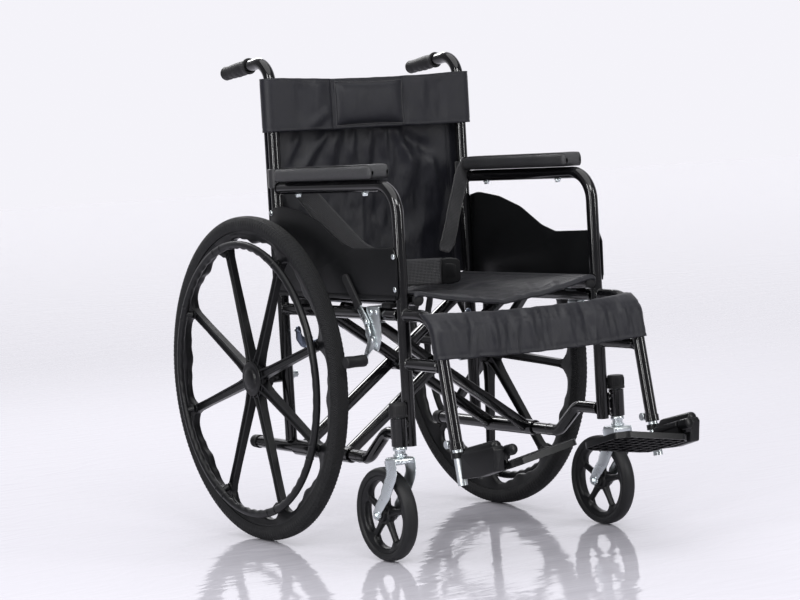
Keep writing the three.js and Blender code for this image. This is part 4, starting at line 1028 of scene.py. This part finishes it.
def backBand():
    part = dict(low=762.0, high=862.0, end=216.5, y=-22.0, depth=16.6, padLeft=-86.0, padRight=71.0)
    corner = [Vector((k * part["end"] + k * part["depth"] * sin(pi * i / 14),
                      part["y"] - part["depth"] * cos(pi * i / 14) , 0)) for k in (1,) for i in range(15)]
    front = [Vector((x, part["y"] - part["depth"], 0)) for x in range(-210, 214, 6)]
    rear = [Vector((x, part["y"] + part["depth"], 0)) for x in range(210, -214, -6)]
    left = [Vector((-p.x, 2 * part["y"] - p.y, 0)) for p in corner]
    loop = front + corner + rear + left
    loop.append(loop[0])
    at, total = along2(loop)
    bandFolds = foldField([(-120, 858, -128, 775, 16, 3.4), (-165, 850, -160, 770, 14, -2.2), (-98, 800, -150, 764,
            10, 2.4), (110, 858, 120, 780, 18, 2.0), (160, 850, 166, 775, 14, -2.0)])

    def where(u, v):
        here, heading = at(u)
        z = part["low"] + v * (part["high"] - part["low"])
        outward = Vector((heading.y, -heading.x, 0)).normalized()
        x = here.x
        face = max(0.0, min(1.0, (190 - abs(x)) / 40))
        isFront = here.y < part["y"]
        puff = 0.0
        if isFront:
            puff = 1.4 * bandFolds(x, z) * face + 2.0 * face * ruffle(x, z, (44, 100), 5.5)
            for seam in (part["padLeft"] - 3, part["padRight"] + 3):
                puff -= groove(x - seam, 3.0, 3.0)
        else:
            puff = 1.6 * face * ruffle(x, z, (60, 120), 7.7)
        puff -= groove(part["high"] - z - 5, 1.8, 0.5) + groove(z - part["low"] - 6, 1.8, 0.5)
        droop = 5.0 * max(0.0, 1 - (x / 200) ** 2) * v + 1.5 * ruffle(x, 0, (70, 1), 2.2) * face
        return Vector((x, here.y, z - droop)) + outward * puff

    obj = clothPiece("backBand", 240, 30, (total, 100), where, looks["nylonCloth"], 1.6, closed=True)
    acrossMiddle(obj)
    bm = bmesh.new()
    frontShare = 420 / total
    for v in (0.05, 0.945):
        stitchRow(bm, [where(0.004 + frontShare * i / 70, v) + Vector((0, -1.0, 0)) for i in range(71)])
    for x in (part["padLeft"] - 3.4, part["padRight"] + 3.4):
        stitchRow(bm, [where((x + 210) / total, 0.06 + 0.88 * i / 12) + Vector((0, -0.9, 0)) for i in range(13)])
    rows = finishPiece("backBandStitches", bm, None, looks["thread"])
    acrossMiddle(rows)


def backPad():
    part = dict(left=-84.0, right=69.0, low=767.5, high=854.0, y=-39.4, plump=11.0)

    def shape(side):
        def where(u, v):
            x = part["left"] + u * (part["right"] - part["left"])
            z = part["low"] + v * (part["high"] - part["low"])
            edge = min(u, 1 - u) * 153, min(v, 1 - v) * 86
            crown = (1 - math.exp(-edge[0] / 9)) * (1 - math.exp(-edge[1] / 9))
            waist = 1.6 * sin(pi * u) * (1 if v < 0.5 else -1) * (1 - 2 * min(v, 1 - v))
            z += waist * 1.0 - 4.4 * max(0.0, 1 - (x / 200) ** 2) * v
            x += 1.4 * sin(pi * v) * (1 if u < 0.5 else -1) * max(0.0, 1 - 8 * min(u, 1 - u))
            rib = 0.5 * sin(u * 24) * math.exp(-((1 - v) / 0.2)) + 0.45 * sin(u * 21 + 1) * math.exp(-(v / 0.14))
            return Vector((x, part["y"] - side * part["plump"] * crown - side * (rib + 0.7 * ruffle(x, z, (26, 60), 9.1)) * crown, z))
        return where

    front, rear = shape(1), (lambda u, v: shape(1)(u, v).lerp(Vector((shape(1)(u, v).x, part["y"], shape(1)(u, v).z)), 0.96))
    bm = bmesh.new()
    layer = bm.loops.layers.uv.new("cloth")
    for where in (front, rear):
        old = set(bm.verts)
        bmesh.ops.create_grid(bm, x_segments=64, y_segments=40, size=0.5)
        fresh = [v for v in bm.verts if v not in old]
        for face in {f for v in fresh for f in v.link_faces}:
            for corner in face.loops:
                corner[layer].uv = ((corner.vert.co.x + 0.5) * 0.153, (corner.vert.co.y + 0.5) * 0.0865)
        for v in fresh:
            v.co = where(v.co.x + 0.5, v.co.y + 0.5)
    bmesh.ops.remove_doubles(bm, verts=bm.verts, dist=0.05)
    bmesh.ops.recalc_face_normals(bm, faces=bm.faces)
    pad = finishPiece("backPad", bm, None, looks["nylonCloth"], (), 180)
    acrossMiddle(pad)
    bm = bmesh.new()
    ring = [front(t, 0.0) for t in [i / 30 for i in range(31)]] + [front(1.0, i / 18) for i in range(1, 19)]
    ring += [front(1 - i / 30, 1.0) for i in range(1, 31)] + [front(0.0, 1 - i / 18) for i in range(1, 18)]
    sweep(bm, ring + ring[:1], 1.1, 8, capped=False)
    cordEdge = finishPiece("backPadPiping", bm, None, looks["thread"], (), 180)
    acrossMiddle(cordEdge)


seatFolds = foldField([(-150, -436, -60, -300, 9, 2.6), (-120, -438, -10, -360, 8, 2.2), (-60, -438, 20, -330, 9,
        2.0), (20, -438, 60, -380, 7, 1.8), (60, -438, 120, -330, 9, 2.4),
                       (110, -438, 165, -350, 8, 2.8), (-170, -300, -40, -220, 14, 2.4), (170, -260, 40, -200, 14,
                               2.4), (-120, -120, 60, -90, 16, 1.8), (165, -400, 90, -420, 6, 2.2),
                       (-165, -410, -90, -425, 6, 2.2)])


def seatSling():
    part = dict(rear=-42.0, outer=199.0, depth=410.0)

    def height(x, run):
        a = abs(x)
        if a > 178:
            return 470.6 - 0.02 * (a - 189) ** 2 if a < 194 else 470.1 - 0.55 * (a - 194)
        return 442.5 + 27.0 * (a / 178) ** (1.34 + 0.25 * max(0.0, min(1.0, (run - 350) / 40)))

    def where(u, v):
        x = (u * 2 - 1) * part["outer"]
        run = v * part["depth"]
        y = part["rear"] - min(run, 398)
        z = height(x, run)
        inner = max(0.0, min(1.0, (158 - abs(x)) / 60))
        if run > 398:  # the front hem rolls down
            turn = (run - 398) / 12 * (pi / 2)
            y -= 4.5 * sin(turn)
            z -= 5.5 * (1 - cos(turn)) + 2.5 * (run - 398) / 12
        z += 1.5 * seatFolds(x, y) * inner + inner * (0.6 + 2.6 * ruffle(x, y, (60, 110), 1.3) + 1.0 * ruffle(x, y, (20, 34), 4.2))
        z -= groove(run - 384, 1.8, 0.8 * inner) + groove(run - 14, 1.8, 0.8 * inner) + groove(abs(x) - 172, 2.4, 1.4)
        return Vector((x, y, z))

    obj = clothPiece("seatSling", 132, 110, (408, 412), where, looks["nylonCloth"], 1.6)
    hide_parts("right_seat_half", "left_seat_half")
    acrossMiddle(obj)
    bm = bmesh.new()
    lift = Vector((0, 0, 1.0))
    for k in (-1, 1):
        for off in (-2.6, 2.6):
            stitchRow(bm, [where(0.5 + k * (172 + off) / 398, 0.03 + 0.9 * i / 40) + lift for i in range(41)])
    for run in (384, 376, 14):
        stitchRow(bm, [where(0.08 + 0.84 * i / 60, run / 410) + lift for i in range(61)])
    rows = finishPiece("seatStitches", bm, None, looks["thread"])
    acrossMiddle(rows)


calfFolds = foldField([(-190, 432, -178, 366, 9, 2.4), (-150, 430, -160, 370, 10, -2.4), (-110, 432, -104, 366, 9,
        2.8), (-70, 430, -78, 372, 8, -2.0), (-30, 434, -22, 366, 9, 2.6),
                       (10, 430, 16, 372, 8, -2.0), (52, 434, 48, 368, 9, 2.8), (92, 432, 100, 370, 9, -2.4), (130,
                               434, 126, 366, 9, 2.6), (176, 430, 184, 368, 9, 2.2)])


def calfStrap():
    part = dict(low=360.0, high=438.0, x=213.5, wrap=14.4)
    r = part["wrap"]
    right = [Vector((-part["x"] + r * sin(a), r * cos(a), 0)) for a in [radians(t) for t in range(24, -181, -12)]]
    front = [Vector((x, -r - 0.2, 0)) for x in range(-206, 207, 6)]
    left = [Vector((part["x"] + r * sin(a), -r * cos(a), 0)) for a in [radians(t) for t in range(0, 205, 12)]]
    at, total = along2(right + front + left)

    def where(u, v):
        here, heading = at(u)
        z = part["low"] + v * (part["high"] - part["low"])
        outward = Vector((heading.y, -heading.x, 0)).normalized()
        face = max(0.0, min(1.0, (200 - abs(here.x)) / 30))
        puff = face * (1.25 * calfFolds(here.x, z) + 3.2 * ruffle(here.x, z, (30, 80),
                6.2)) + 0.9 * ruffle(here.x * 1.7 + here.y, z, (13, 40), 2.9)
        puff -= groove(part["high"] - z - 19, 1.8, 1.3) + groove(z - part["low"] - 7, 1.8, 1.1)
        ripple = 1.2 * ruffle(here.x + here.y, 0, (34, 1), 1.9) * face
        sag = 5.0 * max(0.0, 1 - (here.x / 200) ** 2)
        over = max(0.0, z - 404) / 34  # the tube bends back under the strap's top corners
        back = (8 + 16 * max(0.0, min(1.0, (abs(here.x) - 120) / 80))) * over * over
        return Vector((here.x, hangerY(z) + here.y + back, z - sag + ripple - 1.5 * over * over)) + outward * puff

    obj = clothPiece("calfStrap", 190, 26, (total, 79.5), where, looks["nylonCloth"], 1.8)
    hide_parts("right_calf_strap", "left_calf_strap")
    acrossMiddle(obj)
    bm = bmesh.new()
    for z in (419, 367):
        v = (z - part["low"]) / 78
        stitchRow(bm, [where(0.16 + 0.68 * i / 90, v) + Vector((0, -1.0, 0)) for i in range(91)])
    rows = finishPiece("calfStrapStitches", bm, None, looks["thread"])
    acrossMiddle(rows)


def lapBelts():
    part = dict(width=46.0, near=(-198, -44), turn=-27.4)
    plane = Matrix.Translation((part["near"][0], part["near"][1], 0)) @ Matrix.Rotation(radians(part["turn"]), 4, "Z")
    line = bent([(24, 652, 0), (116, 531, 0, 70), (164, 496, 0, 90), (208, 485, 0, 90), (277, 484.5, 0)], 8)
    at, total = along2(line)

    def where(u, v):
        here, heading = at(u)
        side = Vector((-heading.y, heading.x, 0))
        p = here + side * (v - 0.5) * (36 + 14 * min(1.0, u * 1.8))
        return plane @ Vector((p.x, 1.5 * ruffle(u * 100, v * 10, (22, 30), 3.3), p.y))

    belt = clothPiece("nearLapBelt", 90, 10, (total, 46), where, looks["webbing"], 2.2)
    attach(belt, "lap_belt")
    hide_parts("right_lap_belt")

    bm = bmesh.new()  # side release buckle
    body = [(277, 461, 3), (290, 459.5, 4), (311, 463, 8), (312, 484.5, 2), (311, 506, 8), (290, 509.5, 4), (277, 508, 3)]
    slab(bm, rounded(body), "xz", -6.6, 6.6, 2.6, 3)
    slab(bm, rounded([(283, 470, 3), (303, 472, 5), (303, 497, 5), (283, 499, 3)]), "xz", -7.0, 7.0, 0.8)
    for z in (464, 505):
        slab(bm, rounded([(284, z - 5, 2), (300, z - 4, 3), (300, z + 4, 3), (284, z + 5, 2)]), "xz", -5.4, 5.4, 1.6)
    block(bm, 275.5, 280, -4.5, 4.5, 459.5, 509.5, 1.4)
    bmesh.ops.transform(bm, matrix=plane, verts=bm.verts)
    finishPiece("beltBuckle", bm, "lap_belt", looks["sheetPlastic"], ["belt_buckle"])

    far = bent([(207, 690, 0), (192, 662, 0, 30), (165, 580, 0, 160), (146, 512, 0)], 8)
    atFar, farTotal = along2(far)

    def whereFar(u, v):
        here, heading = atFar(u)
        side = Vector((-heading.y, heading.x, 0))
        width = 20 + 13 * min(1.0, u / 0.22)
        end = 0.0
        if u > 0.88:  # cut on a slant with a soft corner
            end = (u - 0.88) / 0.12
            width *= math.sqrt(max(0.05, 1 - end * end * 0.7))
        p = here + side * ((v - 0.5) * width - 4 * end)
        curl = 3.0 * sin(pi * u) * (v - 0.5) + 1.6 * ruffle(u * 150, v * 20, (30, 24), 6.1)
        return Vector((p.x, -47 - 3 * sin(pi * u) + curl, p.y))

    hang = clothPiece("farLapBelt", 70, 10, (farTotal, 36), whereFar, looks["webbing"], 2.2)
    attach(hang, "left_frame")
    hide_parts("left_lap_belt")
    for name, k in sides:  # the loops that hold the belts on the canes
        bm = bmesh.new()
        ring = [(13.0, -18), (14.6, -17), (14.9, 0), (14.6, 17), (13.0, 18), (12.2, 0), (13.0, -18)]
        lathe(bm, ring, 36, along((k * 213.5, -22, 676 if k < 0 else 668), (0, 0, 1)))
        slab(bm, rounded([(k * 207, 650, 3), (k * 207, 690, 3), (k * 199, 684, 3), (k * 199, 655, 3)]), "xz", -38, -34, 1.2)
        finishPiece(name + "BeltLoop", bm, name + "_frame", looks["webbing"])


backPanel()
backBand()
backPad()
seatSling()
calfStrap()
lapBelts()
print("cloth ready")


studio = dict(place=(-2.46827, -3.63394, 0.73555), around=-33.45, tilt=3.88, roll=-3.24, lens=106.37,
              floorSize=60.0, sunPower=2.0, sunSpread=80.0, skyDim=0.22, skyBright=0.95, skyBack=1.03, skyTint=(0.955, 0.945, 1.0))


def setCamera():
    a, e, r = (radians(studio[key]) for key in ("around", "tilt", "roll"))
    back = Vector((sin(a) * cos(e), -cos(a) * cos(e), sin(e)))
    right = (-back).cross(Vector((0, 0, 1))).normalized()
    up = right.cross(-back)
    right, up = right * cos(r) + up * sin(r), up * cos(r) - right * sin(r)
    data = bpy.data.cameras.new("studioCamera")
    data.lens, data.sensor_width = studio["lens"], 36.0
    camera = bpy.data.objects.new("studioCamera", data)
    camera.matrix_world = Matrix.Translation(studio["place"]) @ Matrix((right, up, back)).transposed().to_4x4()
    bpy.context.scene.collection.objects.link(camera)
    bpy.context.scene.camera = camera


def areaLight(name, place, aim, width, height, power, tint=(1, 1, 1)):
    data = bpy.data.lights.new(name, "AREA")
    data.shape, data.size, data.size_y, data.energy, data.color = "RECTANGLE", width, height, power, tint
    lamp = bpy.data.objects.new(name, data)
    lamp.location = place
    lamp.rotation_euler = (Vector(aim) - Vector(place)).to_track_quat("-Z", "Y").to_euler()
    bpy.context.scene.collection.objects.link(lamp)


def studioFloor():
    bm = bmesh.new()
    bmesh.ops.create_grid(bm, x_segments=8, y_segments=8, size=studio["floorSize"] / 2)
    mesh = bpy.data.meshes.new("studioFloor")
    bm.to_mesh(mesh)
    bm.free()
    floor = bpy.data.objects.new("studioFloor", mesh)
    bpy.context.scene.collection.objects.link(floor)
    material, tree, shader = newMaterial("floorPale")
    where = addNode(tree, "ShaderNodeTexCoord")
    stretched = addNode(tree, "ShaderNodeMapping")
    stretched.inputs["Rotation"].default_value = (0, 0, radians(studio["around"]))
    stretched.inputs["Scale"].default_value = (1.0, 2.6, 1.0)
    tree.links.new(where.outputs["Object"], stretched.inputs["Vector"])
    ripple = addNode(tree, "ShaderNodeTexNoise", Scale=5.0, Detail=3.0, Roughness=0.55, Distortion=0.8)
    tree.links.new(stretched.outputs[0], ripple.inputs["Vector"])
    raised = addNode(tree, "ShaderNodeBump", Strength=0.22, Distance=0.006)
    tree.links.new(ripple.outputs["Fac"], raised.inputs["Height"])
    tree.links.new(raised.outputs[0], shader.inputs["Normal"])
    shader.inputs["Base Color"].default_value = (0.54, 0.528, 0.58, 1)
    shader.inputs["Roughness"].default_value = 0.07
    shader.inputs["IOR"].default_value = 1.45
    mesh.materials.append(material)


def setWorld():  # the view sees a pale backdrop all round, while the sheen comes from a dim room with a bright wall behind
    world = bpy.data.worlds.new("studioWorld")
    world.use_nodes = True
    tree = world.node_tree
    background = tree.nodes["Background"]
    background.inputs["Color"].default_value = (*studio["skyTint"], 1)
    where = addNode(tree, "ShaderNodeTexCoord")
    dot = addNode(tree, "ShaderNodeVectorMath", {"operation": "DOT_PRODUCT"})
    dot.inputs[1].default_value = (0.551, 0.834, 0.0)
    tree.links.new(where.outputs["Generated"], dot.inputs[0])
    wall = addNode(tree, "ShaderNodeMapRange", {"clamp": True, "interpolation_type": "SMOOTHSTEP"})
    tree.links.new(dot.outputs["Value"], wall.inputs["Value"])
    wall.inputs["From Min"].default_value, wall.inputs["From Max"].default_value = 0.35, 0.9
    wall.inputs["To Min"].default_value, wall.inputs["To Max"].default_value = studio["skyDim"], studio["skyBack"]
    path = addNode(tree, "ShaderNodeLightPath")
    pick = addNode(tree, "ShaderNodeMix", {"data_type": "FLOAT"})
    tree.links.new(path.outputs["Is Camera Ray"], pick.inputs[0])
    tree.links.new(wall.outputs[0], pick.inputs[2])
    pick.inputs[3].default_value = studio["skyBright"]
    tree.links.new(pick.outputs[0], background.inputs["Strength"])
    bpy.context.scene.world = world
    bpy.context.scene.view_settings.view_transform = "Standard"


def softSun():
    data = bpy.data.lights.new("overheadSoft", "SUN")
    data.energy, data.angle = studio["sunPower"], radians(studio["sunSpread"])
    lamp = bpy.data.objects.new("overheadSoft", data)
    lamp.rotation_euler = (radians(8), radians(-6), 0)
    bpy.context.scene.collection.objects.link(lamp)


setCamera()
setWorld()
studioFloor()
softSun()
areaLight("leftStrip", (-2.9, -0.9, 1.5), (0, -0.1, 0.5), 0.28, 2.2, 42.0)
areaLight("leftStripNear", (-2.7, -2.3, 1.5), (0, -0.1, 0.5), 0.16, 2.0, 22.0)
areaLight("rightStrip", (1.6, -3.2, 1.6), (0, -0.1, 0.5), 0.3, 2.0, 40.0)
areaLight("frontTop", (-0.8, -2.6, 2.6), (0, 0, 0.6), 1.4, 0.8, 38.0)
areaLight("backTop", (0.6, 2.8, 2.4), (0, 0, 0.6), 2.0, 0.6, 40.0)
print("studio ready")
